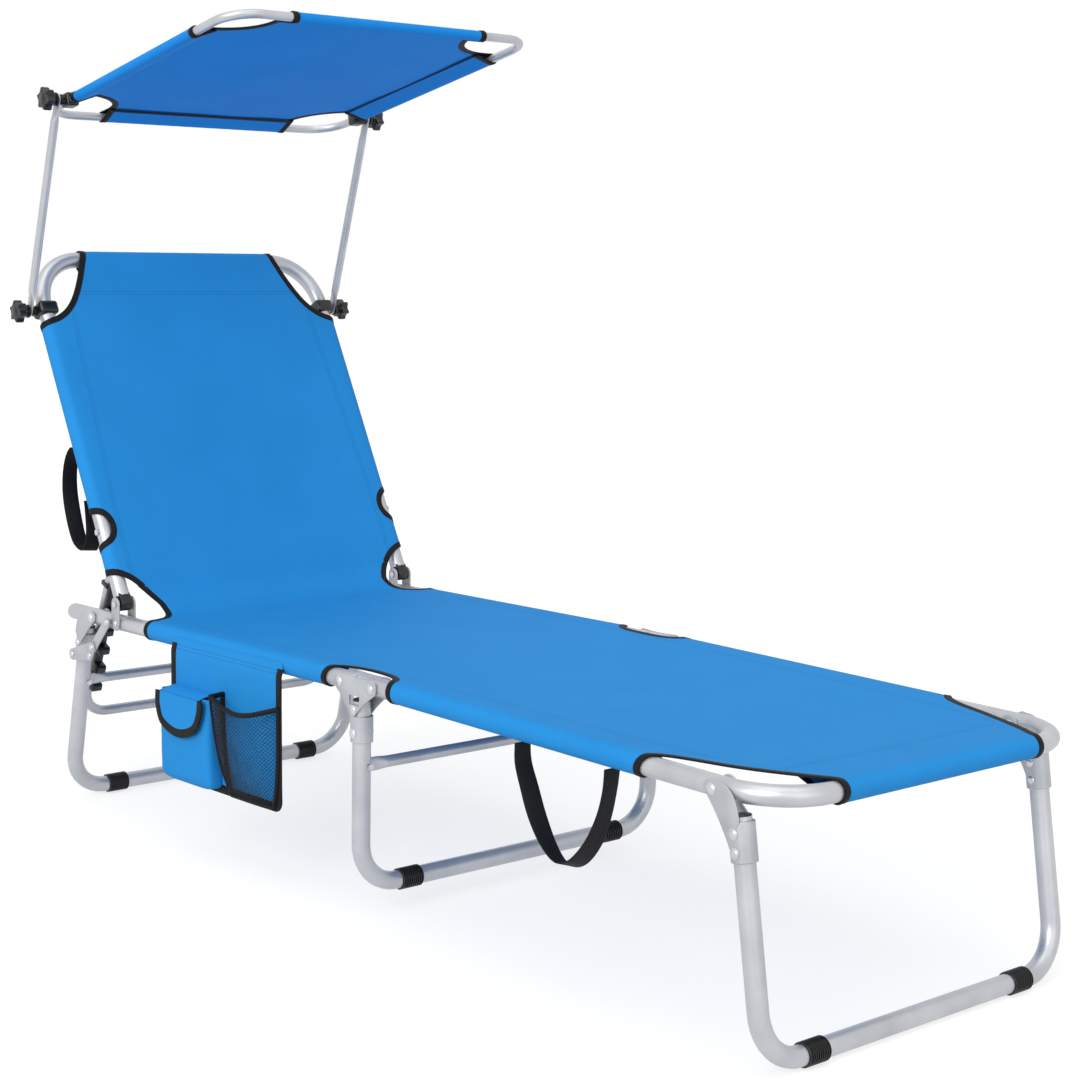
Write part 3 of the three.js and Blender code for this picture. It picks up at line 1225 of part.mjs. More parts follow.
// Canopy cloth: a taut panel with a sleeve along each edge and a cut-out at each corner
function canopyCloth() {
  const bore = CANOPY_TUBE_RADIUS + SLEEVE_CLEARANCE;
  const radius = bore + CLOTH_THICKNESS / 2;
  const flatTurn = Math.PI / TUBE_SIDES;
  const section = (length) => new THREE.CylinderGeometry(radius, radius, length, TUBE_SIDES).rotateY(flatTurn);
  const depth = CANOPY_REAR + CANOPY_FRONT;
  const middle = (CANOPY_FRONT - CANOPY_REAR) / 2;
  const underside = bore - CLOTH_THICKNESS / 2;
  const upside = radius - CLEARANCE / 2;
  const panel = box(-CANOPY_REAR, CANOPY_FRONT, -CANOPY_Y, CANOPY_Y, underside, upside);
  const sleeves = [
    section(CANOPY_WIDTH).translate(-CANOPY_REAR, 0, 0),
    section(CANOPY_WIDTH).translate(CANOPY_FRONT, 0, 0),
    section(depth).rotateZ(Math.PI / 2).translate(middle, CANOPY_Y, 0),
    section(depth).rotateZ(Math.PI / 2).translate(middle, -CANOPY_Y, 0),
  ];
  const boreTools = [
    new THREE.CylinderGeometry(bore, bore, CANOPY_WIDTH + depth, TUBE_SIDES).translate(-CANOPY_REAR, 0, 0),
    new THREE.CylinderGeometry(bore, bore, CANOPY_WIDTH + depth, TUBE_SIDES).translate(CANOPY_FRONT, 0, 0),
    ...SIDES.map(([, side]) => new THREE.CylinderGeometry(bore, bore, 2 * depth, TUBE_SIDES)
      .rotateZ(Math.PI / 2)
      .translate(middle, side * CANOPY_Y, 0)),
  ];
  const cornerTools = [];
  for (const x of [-CANOPY_REAR, CANOPY_FRONT]) {
    for (const [, side] of SIDES) {
      const tool = new THREE.CylinderGeometry(CANOPY_CUTOUT, CANOPY_CUTOUT, 2 * TUBE_DIAMETER, DISC_SIDES);
      tool.rotateX(Math.PI / 2);
      const inset = Math.sign(x) * CANOPY_TUBE_DIAMETER;
      cornerTools.push(tool.translate(x + inset, side * (CANOPY_Y + CANOPY_TUBE_DIAMETER), 0));
    }
  }
  const clampRoom = SIDES.map(([, side]) => {
    const near = CANOPY_Y - CANOPY_TUBE_DIAMETER;
    const far = CANOPY_Y + CANOPY_TUBE_DIAMETER;
    const [low, high] = side > 0 ? [near, far] : [-far, -near];
    const half = CLAMP_WIDTH / 2 + CLEARANCE;
    return box(-half, half, low, high, -TUBE_DIAMETER, TUBE_DIAMETER);
  });
  return cut(join(panel, ...sleeves), ...boreTools, ...cornerTools, ...clampRoom);
}

addPiece(canopy, 'canopy_cloth', canopyCloth(), finishes.canopy);
for (const [name, side] of SIDES) {
  const clamp = clampBlock(CANOPY_TUBE_RADIUS, CANOPY_Y, side, 0, 0);
  addPiece(canopy, `canopy_clamp_${name}`, clamp, finishes.plastic);
  const knob = starKnob(side, upperKnobShaftEnd).translate(0, 0, CANOPY_ARM_LENGTH);
  addPiece(arms, `upper_knob_${name}`, knob, finishes.plastic);
}

// Pocket organiser that hangs from the right seat rail
const pocketOuter = POCKET_STAND_OFF + POCKET_PANEL_THICKNESS;

function rectangle(x0, x1, z0, z1) {
  const corners = [[x0, z0], [x1, z0], [x1, z1], [x0, z1]];
  return new THREE.Shape(corners.map(([x, z]) => new THREE.Vector2(x, z)));
}

const pocketTabs = [-POCKET_REAR, -POCKET_FRONT - POCKET_TAB_WIDTH].map((x) => sidePlate(
  rectangle(x, x + POCKET_TAB_WIDTH, -POCKET_TAB_HEIGHT / 2, POCKET_TAB_HEIGHT / 2),
  -1,
  RAIL_Y + SLING_RADIUS + CLEARANCE,
  pocketOuter,
));

// A pouch with an open top, given by its outline and the outline of its inside
function pouch(outline, inside, near) {
  const far = pocketOuter + CLEARANCE + POUCH_DEPTH;
  return cut(
    sidePlate(outline, -1, near, far),
    sidePlate(inside, -1, pocketOuter + CLEARANCE + POUCH_WALL, far - POUCH_WALL),
  );
}

const pouchBottom = -POCKET_DROP;
const phoneRim = pouchBottom + PHONE_POUCH_RISE;
const meshRim = pouchBottom + MESH_POCKET_RISE;
const phonePouch = pouch(
  rectangle(-POCKET_REAR, -POCKET_SPLIT - CLEARANCE, pouchBottom, phoneRim),
  rectangle(
    -POCKET_REAR + POUCH_WALL,
    -POCKET_SPLIT - CLEARANCE - POUCH_WALL,
    pouchBottom + POUCH_WALL,
    phoneRim + CUT_OVERRUN,
  ),
  pocketOuter - POCKET_PANEL_THICKNESS / 2,
);
addPiece(
  seat,
  'pocket_organiser',
  join(
    sidePlate(rectangle(-POCKET_REAR, -POCKET_FRONT, -POCKET_DROP, 0), -1, POCKET_STAND_OFF, pocketOuter),
    phonePouch,
    ...pocketTabs,
  ),
  finishes.webbing,
);

function meshOutline(inset, rise) {
  const left = -POCKET_SPLIT + CLEARANCE + inset;
  const right = -POCKET_FRONT - inset;
  const shape = new THREE.Shape();
  shape.moveTo(left, pouchBottom + inset);
  shape.lineTo(right, pouchBottom + inset);
  shape.lineTo(right, meshRim + rise);
  shape.quadraticCurveTo((left + right) / 2, meshRim - MESH_POCKET_DIP + rise, left, meshRim + rise);
  return shape;
}

addPiece(
  seat,
  'mesh_pocket',
  pouch(meshOutline(0, 0), meshOutline(POUCH_WALL, MESH_POCKET_DIP), pocketOuter + CLEARANCE),
  finishes.mesh,
);

// Half-round flap that hangs over the mouth of the phone pouch
const flapX = -(POCKET_REAR + POCKET_SPLIT) / 2;
const flapZ = -FLAP_DROP;
const flapFrame = addJointFrame(seat, 'pocket_flap_lift', flapX, flapZ, 0);
const flapNear = pocketOuter + POUCH_DEPTH + 2 * CLEARANCE;

function flapGeometry() {
  const half = FLAP_WIDTH / 2;
  const shape = new THREE.Shape();
  shape.moveTo(half, 0);
  shape.lineTo(-half, 0);
  shape.quadraticCurveTo(-half, -FLAP_HEIGHT, 0, -FLAP_HEIGHT);
  shape.quadraticCurveTo(half, -FLAP_HEIGHT, half, 0);
  return sidePlate(shape, -1, flapNear, flapNear + FLAP_THICKNESS);
}

addPiece(flapFrame, 'pocket_flap', flapGeometry(), finishes.webbing);

// A flat strap that follows points in the X-Z plane, on one side of the lounger
function strap(points, side, near) {
  const curve = new THREE.SplineCurve(points);
  const steps = STEPS_PER_STATION * (points.length - 1);
  const outer = [];
  const inner = [];
  for (let i = 0; i <= steps; i += 1) {
    const at = curve.getPoint(i / steps);
    const along = curve.getTangent(i / steps);
    const across = new THREE.Vector2(-along.y, along.x).multiplyScalar(STRAP_THICKNESS / 2);
    outer.push(at.clone().add(across));
    inner.push(at.clone().sub(across));
  }
  const shape = new THREE.Shape([...outer, ...inner.reverse()]);
  return sidePlate(shape, side, near, near + STRAP_WIDTH);
}

const footStrapHang = SLING_RADIUS + CLEARANCE / 2;
const footStrapSpan = FOOT_STRAP_FRONT - FOOT_STRAP_REAR;
const footStrapShares = [[0, 0], [0.1, 0.4], [0.3, 0.8], [0.55, 1], [0.8, 0.85], [0.95, 0.45], [1, 0]];
addPiece(
  foot,
  'foot_strap',
  strap(
    footStrapShares.map(([along, down]) => new THREE.Vector2(
      FOOT_STRAP_REAR + along * footStrapSpan,
      -footStrapHang - down * FOOT_STRAP_DROP,
    )),
    -1,
    RAIL_Y - STRAP_WIDTH / 2,
  ),
  finishes.webbing,
);

const backStrapHang = SLING_RADIUS + STRAP_THICKNESS / 2;
const backStrapSpan = BACK_STRAP_END - BACK_STRAP_START;
const backStrapShares = [[0, 0], [-0.6, 0.35], [-0.75, 0.8], [-0.3, 1.05], [0.4, 0.95], [0.9, 0.5], [1, 0]];
addPiece(
  backrest,
  'back_strap',
  strap(
    backStrapShares.map(([along, down]) => new THREE.Vector2(
      -BACK_STRAP_START - along * backStrapSpan,
      -backStrapHang - down * BACK_STRAP_HANG,
    )),
    -1,
    RAIL_Y - STRAP_WIDTH / 2,
  ),
  finishes.webbing,
);

// The origin is the middle of the footprint, on the floor
group.updateMatrixWorld(true);
const bounds = new THREE.Box3().setFromObject(group, true);
const centre = bounds.getCenter(new THREE.Vector3());
group.position.set(-centre.x, -centre.y, -bounds.min.z);

export default group;
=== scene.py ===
"""A folding sun lounger with a tilting canopy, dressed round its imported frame.

Sizes are in millimetres in the part's own joint frames. A piece is modelled there with
its sizes as they are, and `settle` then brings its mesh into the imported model's frame,
which is in metres.
"""
import json
import logging
import math
from dataclasses import dataclass, field
from enum import Enum
from typing import Callable, Dict, List, Optional, Sequence, Tuple

import bpy
import numpy as np
from mathutils import Matrix, Vector, noise
from mathutils.geometry import delaunay_2d_cdt


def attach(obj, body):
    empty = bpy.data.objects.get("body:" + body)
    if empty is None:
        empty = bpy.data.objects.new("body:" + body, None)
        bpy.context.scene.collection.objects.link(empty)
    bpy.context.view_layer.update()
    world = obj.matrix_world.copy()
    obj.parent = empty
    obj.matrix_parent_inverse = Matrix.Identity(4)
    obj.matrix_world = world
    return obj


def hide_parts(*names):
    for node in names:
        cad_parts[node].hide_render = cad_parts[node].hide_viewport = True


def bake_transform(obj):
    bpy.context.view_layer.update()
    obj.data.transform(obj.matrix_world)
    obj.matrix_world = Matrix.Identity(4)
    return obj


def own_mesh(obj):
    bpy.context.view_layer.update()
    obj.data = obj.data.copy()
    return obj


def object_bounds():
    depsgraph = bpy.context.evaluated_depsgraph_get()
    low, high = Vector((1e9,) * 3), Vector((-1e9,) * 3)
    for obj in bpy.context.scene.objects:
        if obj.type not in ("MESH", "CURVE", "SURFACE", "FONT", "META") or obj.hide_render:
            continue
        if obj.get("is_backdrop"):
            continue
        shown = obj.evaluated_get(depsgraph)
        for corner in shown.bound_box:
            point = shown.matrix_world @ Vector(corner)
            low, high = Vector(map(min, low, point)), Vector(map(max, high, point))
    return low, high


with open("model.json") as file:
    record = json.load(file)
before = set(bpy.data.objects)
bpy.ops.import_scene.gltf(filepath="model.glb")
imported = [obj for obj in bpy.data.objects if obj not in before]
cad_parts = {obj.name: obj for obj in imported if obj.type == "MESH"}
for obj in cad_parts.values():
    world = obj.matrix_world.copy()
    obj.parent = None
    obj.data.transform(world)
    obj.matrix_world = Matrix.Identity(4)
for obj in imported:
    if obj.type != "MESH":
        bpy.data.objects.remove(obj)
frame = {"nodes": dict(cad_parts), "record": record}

LOG = logging.getLogger("sun_lounger")
Point = Tuple[float, float]
Lay = Callable[[float, float, float], Vector]

MM = 0.001
CAD_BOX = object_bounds()

# Stock and layout shared by the frame, its brackets and its cloth
TUBE_RADIUS = 12.5
RAIL_Y = 267.0
PLATE = 2.5
OUTER_PLATE = 279.8
INNER_PLATE = 254.2
OUTER_FACE = OUTER_PLATE + PLATE
INNER_FACE = INNER_PLATE - PLATE
RIVET_RADIUS = 5.0
RIVET_RISE = 2.0
SLEEVE_RADIUS = 15.3
LOBE_RADIUS = 12.0
LINK_LAYER = 284.9
TOGGLE_LAYER = 287.7
CLOTH_LIFT = 14.0
FRAME_BEND = 80.0
# The rounding of a pressed plate's edges
PRESS_EDGE = 0.7
# Points nearer to each other than this are merged
MERGE_MM = 0.01
# The scale at which a wave texture has one band in each unit
WAVE_SCALE = 0.314


class Side(Enum):
    """The sitter's own sides: left is +Y and right is -Y."""

    LEFT = 1
    RIGHT = -1

    @property
    def word(self) -> str:
        """The side's word in node names."""
        return self.name.lower()

    @property
    def out(self) -> Vector:
        """The way that points outward on this side."""
        return Vector((0, self.value, 0))

    def spot(self, x: float, y: float, z: float) -> Vector:
        """A local point on this side, whose Y is given as a distance from the middle."""
        return Vector((x, self.value * y, z))

    def span(self, near: float, far: float) -> Tuple[float, float]:
        """The Y of two faces on this side, in rising order."""
        return tuple(sorted((self.value * near, self.value * far)))


@dataclass(frozen=True)
class Place:
    """A joint frame of the lounger: its origin in millimetres and its turn about +Y."""

    x: float
    z: float
    turn: float

    @property
    def matrix(self) -> Matrix:
        """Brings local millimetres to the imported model's metres."""
        lift = Matrix.Translation((self.x * MM, 0.0, self.z * MM))
        return lift @ Matrix.Rotation(math.radians(self.turn), 4, "Y") @ Matrix.Scale(MM, 4)

    def at(self, along: float, across: float, up: float) -> Vector:
        """A local point, given in millimetres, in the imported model's metres."""
        return self.matrix @ Vector((along, across, up))

    @staticmethod
    def of_joint(name: str, turn: float) -> "Place":
        """The frame of a joint of the record.

        Args:
            name: The joint's name in the record.
            turn: The frame's turn about +Y in degrees.

        Returns:
            The place whose origin is the joint.
        """
        joints = frame["record"]["behaviour"]["joints"]
        spot = next(joint["pos_m"] for joint in joints if joint["name"] == name)
        return Place(spot[0] / MM, spot[2] / MM, turn)


MID_LEG = Place.of_joint("mid_leg_fold", 0.0)
REAR_LEG = Place.of_joint("rear_leg_fold", 11.3)
FOOT_LEG = Place.of_joint("foot_leg_fold", -9.18)
BACK = Place.of_joint("backrest_fold", 62.0)
PROP = Place.of_joint("prop_swing", 21.93)
ARMS = Place.of_joint("canopy_arms_tilt", 16.7)
CANOPY = Place.of_joint("canopy_tilt", -12.8)
SEAT = Place(MID_LEG.x + 27.0, 320.0, -0.82)
FOOT = Place(SEAT.x, 320.0, 0.47)
LOCK_RAIL = Place.of_joint("rear_link_turn", 0.0)


# Finishes


def linear(hex_colour: str) -> Tuple[float, float, float, float]:
    """Turns an sRGB hex colour to linear RGBA.

    Args:
        hex_colour: Six hex digits.

    Returns:
        The colour that a shader socket takes.
    """
    parts = [int(hex_colour[i:i + 2], 16) / 255 for i in (0, 2, 4)]
    return tuple(c / 12.92 if c <= 0.04045 else ((c + 0.055) / 1.055) ** 2.4 for c in parts) + (1.0,)


def add_node(tree: bpy.types.NodeTree, kind: str, inputs: Optional[dict] = None,
             **settings) -> bpy.types.Node:
    """Adds a node with its settings and links.

    Args:
        tree: The node tree.
        kind: The node's type name.
        inputs: Values or output sockets by input name or number.
        **settings: The node's own properties.

    Returns:
        The new node.
    """
    node = tree.nodes.new(kind)
    for name, value in settings.items():
        setattr(node, name, value)
    for name, value in (inputs or {}).items():
        if isinstance(value, bpy.types.NodeSocket):
            tree.links.new(value, node.inputs[name])
        else:
            node.inputs[name].default_value = value
    return node


def new_material(name: str, roughness: float, metallic: float, **sockets: float):
    """Starts a material with its shader.

    Args:
        name: The material's name.
        roughness: The shader's roughness.
        metallic: The shader's metallic value.
        **sockets: Further constant values, by socket name with underscores for spaces.

    Returns:
        The material, its node tree and its shader node.
    """
    material = bpy.data.materials.new(name)
    material.use_nodes = True
    tree = material.node_tree
    shader = tree.nodes["Principled BSDF"]
    shader.inputs["Roughness"].default_value = roughness
    shader.inputs["Metallic"].default_value = metallic
    for socket, value in sockets.items():
        shader.inputs[socket.replace("_", " ")].default_value = value
    return material, tree, shader


def math_node(tree: bpy.types.NodeTree, operation: str, *values, **settings) -> bpy.types.NodeSocket:
    """Adds a math node.

    Args:
        tree: The node tree.
        operation: What the node does.
        *values: Its values or output sockets.
        **settings: The node's own properties.

    Returns:
        Its output socket.
    """
    inputs = dict(enumerate(values))
    return add_node(tree, "ShaderNodeMath", inputs, operation=operation, **settings).outputs[0]


def noise_node(tree: bpy.types.NodeTree, place: bpy.types.NodeSocket, scale: float,
               detail: float) -> bpy.types.NodeSocket:
    """The value of a noise texture."""
    inputs = {"Vector": place, "Scale": scale, "Detail": detail}
    return add_node(tree, "ShaderNodeTexNoise", inputs).outputs["Fac"]


def wave_node(tree: bpy.types.NodeTree, place: bpy.types.NodeSocket, pitch: float,
              way: str) -> bpy.types.NodeSocket:
    """The value of bands of a given pitch in metres."""
    inputs = {"Vector": place, "Scale": WAVE_SCALE / pitch}
    return add_node(tree, "ShaderNodeTexWave", inputs, bands_direction=way).outputs["Fac"]


def range_node(tree: bpy.types.NodeTree, value: bpy.types.NodeSocket, start: float, end: float,
               low: float, high: float, **settings) -> bpy.types.NodeSocket:
    """A value brought from one range, start to end, to another, low to high."""
    inputs = {"Value": value, "From Min": start, "From Max": end, "To Min": low, "To Max": high}
    return add_node(tree, "ShaderNodeMapRange", inputs, **settings).outputs["Result"]


def colour_node(tree: bpy.types.NodeTree, share: bpy.types.NodeSocket, low, high) -> bpy.types.NodeSocket:
    """Two colours, as linear values or sockets, mixed by a share."""
    return add_node(tree, "ShaderNodeMix", {0: share, 6: low, 7: high}, data_type="RGBA").outputs[2]


def cover(tree: bpy.types.NodeTree, shader: bpy.types.Node, colour: bpy.types.NodeSocket,
          height: bpy.types.NodeSocket, strength: float, depth: float = 0.2 * MM) -> None:
    """Gives a shader its colour and its relief.

    Args:
        tree: The node tree.
        shader: The shader node.
        colour: The base colour's socket.
        height: The relief's height.
        strength: How strongly the relief bends the light.
        depth: The relief's depth in metres.
    """
    bump = add_node(tree, "ShaderNodeBump", {"Height": height, "Strength": strength, "Distance": depth})
    tree.links.new(colour, shader.inputs["Base Color"])
    tree.links.new(bump.outputs["Normal"], shader.inputs["Normal"])


@dataclass(frozen=True)
class CoatedMetal:
    """Steel under a coat or plating, with a fine grain and soft blotches."""

    name: str
    colour: str
    dull_colour: str
    metallic: float
    roughness: float
    grain_mm: float
    bump: float
    blotches_per_metre: float = 14.0

    def build(self) -> bpy.types.Material:
        """Makes the material."""
        material, tree, shader = new_material(self.name, self.roughness, self.metallic)
        place = add_node(tree, "ShaderNodeTexCoord").outputs["Object"]
        grain = noise_node(tree, place, 1 / (self.grain_mm * MM), 3.0)
        blotch = noise_node(tree, place, self.blotches_per_metre, 4.0)
        share = range_node(tree, blotch, 0.35, 0.65, 0.0, 1.0)
        colour = colour_node(tree, share, linear(self.dull_colour), linear(self.colour))
        rough = range_node(tree, grain, 0.3, 0.7, self.roughness - 0.05, self.roughness + 0.07)
        tree.links.new(rough, shader.inputs["Roughness"])
        cover(tree, shader, colour, grain, self.bump)
        return material


@dataclass(frozen=True)
class MouldedPlastic:
    """Black moulded nylon or rubber with a fine spark-eroded grain."""

    name: str
    colour: str
    worn_colour: str
    roughness: float
    grain_mm: float
    scuffs_per_metre: float = 60.0
    bump: float = 0.35

    def build(self) -> bpy.types.Material:
        """Makes the material."""
        material, tree, shader = new_material(self.name, self.roughness, 0.0, IOR=1.5)
        place = add_node(tree, "ShaderNodeTexCoord").outputs["Object"]
        grain = noise_node(tree, place, 1 / (self.grain_mm * MM), 2.0)
        scuff = noise_node(tree, place, self.scuffs_per_metre, 5.0)
        share = range_node(tree, scuff, 0.55, 0.75, 0.0, 0.6)
        colour = colour_node(tree, share, linear(self.colour), linear(self.worn_colour))
        cover(tree, shader, colour, grain, self.bump)
        return material


@dataclass(frozen=True)
class WovenCloth:
    """Plain-woven polyester, read from the piece's own UV map in metres.

    The real threads stand about 0.5 mm apart, which is too fine to show, so they are
    drawn coarser. The `seam` attribute is the distance to the nearest row of stitches.
    """

    name: str
    colour: str
    shade_colour: str
    stitch_colour: str
    thread_mm: float
    roughness: float = 0.72
    gloss: float = 0.12
    blotches_per_metre: float = 9.0
    stitch_mm: float = 5.0
    stitch_share: float = 0.68
    row_gap_mm: float = 5.0
    yarn_mm: float = 1.1
    pucker_mm: float = 4.0
    pucker: float = -2.0
    bump: float = 0.45
    bump_mm: float = 0.16

    def build(self) -> bpy.types.Material:
        """Makes the material."""
        material, tree, shader = new_material(self.name, self.roughness, 0.0, Specular_IOR_Level=self.gloss)
        flat = add_node(tree, "ShaderNodeUVMap", uv_map="flat").outputs["UV"]
        pitch = self.thread_mm * MM
        warp, weft = (wave_node(tree, flat, pitch, way) for way in "XY")
        over = add_node(tree, "ShaderNodeTexChecker", {"Vector": flat, "Scale": 1 / pitch}).outputs["Fac"]
        weave = add_node(tree, "ShaderNodeMix", {0: over, 2: warp, 3: weft}).outputs[0]
        blotch = noise_node(tree, flat, self.blotches_per_metre, 5.0)
        light = math_node(tree, "ADD", math_node(tree, "MULTIPLY", weave, 0.35), blotch, use_clamp=True)
        base = colour_node(tree, light, linear(self.shade_colour), linear(self.colour))
        seam = add_node(tree, "ShaderNodeAttribute", attribute_name="seam").outputs["Fac"]
        off_middle = math_node(tree, "SUBTRACT", seam, self.row_gap_mm / 2 * MM)
        on_row = math_node(tree, "LESS_THAN", math_node(tree, "ABSOLUTE", off_middle), self.yarn_mm / 2 * MM)
        split = add_node(tree, "ShaderNodeSeparateXYZ", {0: flat}).outputs
        along = math_node(tree, "ADD", split[0], split[1])
        beat = math_node(tree, "FRACT", math_node(tree, "MULTIPLY", along, 1 / (self.stitch_mm * MM)))
        dash = math_node(tree, "LESS_THAN", beat, self.stitch_share)
        stitch = math_node(tree, "MULTIPLY", on_row, dash)
        colour = colour_node(tree, stitch, base, linear(self.stitch_colour))
        pull = range_node(tree, seam, 0.0, self.pucker_mm * MM, self.pucker, 0.0,
                          interpolation_type="SMOOTHSTEP")
        cover(tree, shader, colour, math_node(tree, "ADD", weave, pull), self.bump, self.bump_mm * MM)
        return material


@dataclass(frozen=True)
class RibbedTape:
    """Narrow woven tape or webbing, whose ribs run across it."""

    name: str
    colour: str
    rib_colour: str
    rib_mm: float
    roughness: float = 0.62
    gloss: float = 0.2
    bump: float = 0.6
    bump_mm: float = 0.3

    def build(self) -> bpy.types.Material:
        """Makes the material."""
        material, tree, shader = new_material(self.name, self.roughness, 0.0, Specular_IOR_Level=self.gloss)
        flat = add_node(tree, "ShaderNodeUVMap", uv_map="flat").outputs["UV"]
        pitch = self.rib_mm * MM
        ribs, rows = wave_node(tree, flat, pitch, "X"), wave_node(tree, flat, pitch * 2, "Y")
        weave = math_node(tree, "MULTIPLY", ribs, rows)
        colour = colour_node(tree, weave, linear(self.colour), linear(self.rib_colour))
        cover(tree, shader, colour, weave, self.bump, self.bump_mm * MM)
        return material


class Finishes:
    """Every material of the lounger, each made once."""

    def __init__(self) -> None:
        """Makes the materials."""
        # Silver polyester powder coat on drawn steel tube: a soft satin gleam, no mirror
        self.tube = CoatedMetal("silver_powder_coat", "C2C3C7", "B1B3B8", 0.6, 0.36, 0.9, 0.25).build()
        # The same coat on pressed plate, a touch duller where it was formed
        self.plate = CoatedMetal("powder_coated_pressing", "BBBDC2", "A6A9AE", 0.5, 0.42, 0.8, 0.3).build()
        # Zinc plating on rivets, pins and bolts: brighter, with a bluish grey cast
        self.zinc = CoatedMetal("zinc_plated_steel", "DCDDDF", "BFC2C5", 0.8, 0.3, 0.5, 0.2).build()
        # Injection-moulded black nylon: a low even gloss
        self.nylon = MouldedPlastic("moulded_black_nylon", "0D0E0F", "17181A", 0.32, 0.6).build()
        # Soft black vinyl of the foot sleeves: duller than the nylon
        self.vinyl = MouldedPlastic("soft_black_vinyl", "0F1011", "222326", 0.24, 0.5).build()
        # Blue PU-backed polyester: matt, with a faint sheen along the threads
        self.sling = WovenCloth("blue_woven_polyester", "2489D0", "2080C4", "1B68A8", 1.7).build()
        # The canopy's lighter polyester of the same colour
        self.shade = WovenCloth("blue_canopy_polyester", "1A86DA", "187DCE", "14609F", 1.5).build()
        # Black polypropylene binding tape, folded over each cut edge
        self.binding = RibbedTape("black_binding_tape", "08080A", "121215", 1.2).build()
        # Black polypropylene webbing of the carrying straps
        self.webbing = RibbedTape("black_strap_webbing", "0C0C0E", "1E1E22", 2.2).build()
        # Black knitted net: fine round yarns
        self.net = MouldedPlastic("black_knitted_net", "08080A", "111114", 0.7, 0.4).build()


# Modelling helpers


def deselect() -> None:
    """Deselects every object."""
    if bpy.context.object and bpy.context.object.mode != "OBJECT":
        bpy.ops.object.mode_set(mode="OBJECT")
    bpy.ops.object.select_all(action="DESELECT")


def make_active(piece: bpy.types.Object) -> None:
    """Selects one object alone and makes it the active one."""
    deselect()
    piece.select_set(True)
    bpy.context.view_layer.objects.active = piece


def apply_modifier(piece: bpy.types.Object, kind: str, **settings) -> None:
    """Adds a modifier with its settings and applies it.

    Args:
        piece: The mesh object.
        kind: The modifier's type.
        **settings: The modifier's own properties.
    """
    make_active(piece)
    modifier = piece.modifiers.new(kind.lower(), kind)
    for name, value in settings.items():
        setattr(modifier, name, value)
    bpy.ops.object.modifier_apply(modifier=modifier.name)


def clean_mesh(piece: bpy.types.Object, merge: bool = True) -> None:
    """Turns the faces outwards, after merging doubles where that is asked for.

    Args:
        piece: The mesh object.
        merge: Whether doubles are merged, which is for meshes that are still in millimetres.
    """
    make_active(piece)
    bpy.ops.object.mode_set(mode="EDIT")
    bpy.ops.mesh.select_all(action="SELECT")
    if merge:
        bpy.ops.mesh.remove_doubles(threshold=MERGE_MM)
    bpy.ops.mesh.normals_make_consistent(inside=False)
    bpy.ops.object.mode_set(mode="OBJECT")


def mesh_piece(name: str, verts: Sequence[Vector], faces: Sequence[Tuple[int, ...]],
               coords: Optional[Sequence[Point]] = None) -> bpy.types.Object:
    """An object made of points and faces.

    Args:
        name: The new object's name.
        verts: Its points in metres.
        faces: Each face's point numbers.
        coords: Each point's place in the flat UV map in metres, if it has one.

    Returns:
        The new object.
    """
    mesh = bpy.data.meshes.new(name)
    mesh.from_pydata(verts, [], faces)
    piece = bpy.data.objects.new(name, mesh)
    bpy.context.scene.collection.objects.link(piece)
    if coords is not None:
        uv = mesh.uv_layers.new(name="flat")
        for loop in mesh.loops:
            uv.data[loop.index].uv = coords[loop.vertex_index]
    return piece


def mark_seams(piece: bpy.types.Object, gaps: Sequence[float]) -> None:
    """Stores each point's distance to the nearest row of stitches, in metres."""
    piece.data.attributes.new("seam", "FLOAT", "POINT").data.foreach_set("value", gaps)


def ease(share: float) -> float:
    """Holds a share between 0 and 1 and eases it in and out."""
    share = min(max(share, 0.0), 1.0)
    return share * share * (3 - 2 * share)


def outline_loop(name: str, points: Sequence[Vector], fill: bool) -> bpy.types.Object:
    """A circle primitive whose points are moved onto an outline.

    Args:
        name: The new object's name.
        points: The outline, in local millimetres.
        fill: Whether the outline is closed by a face.

    Returns:
        The new object.
    """
    deselect()
    bpy.ops.mesh.primitive_circle_add(
        vertices=len(points), radius=1.0, fill_type="NGON" if fill else "NOTHING", location=(0, 0, 0))
    piece = bpy.context.object
    piece.name = name
    for vertex, point in zip(piece.data.vertices, points):
        vertex.co = point
    return piece


def side_plate(name: str, outline: Sequence[Point], near: float, far: float,
               edge: float = PRESS_EDGE) -> bpy.types.Object:
    """A flat part with an outline in the X-Z plane and rolled edges.

    Args:
        name: The new object's name.
        outline: The outline's X and Z, in millimetres.
        near: Where its thickness starts on Y.
        far: Where its thickness ends on Y.
        edge: How far its edges are rounded.

    Returns:
        The new object.
    """
    piece = outline_loop(name, [Vector((x, near, z)) for x, z in outline], True)
    bpy.ops.object.mode_set(mode="EDIT")
    bpy.ops.mesh.select_all(action="SELECT")
    bpy.ops.mesh.extrude_region_move(TRANSFORM_OT_translate={"value": (0, far - near, 0)})
    bpy.ops.object.mode_set(mode="OBJECT")
    clean_mesh(piece)
    if edge:
        apply_modifier(piece, "BEVEL", width=edge, segments=2, limit_method="ANGLE",
                       angle_limit=math.radians(40))
    return piece


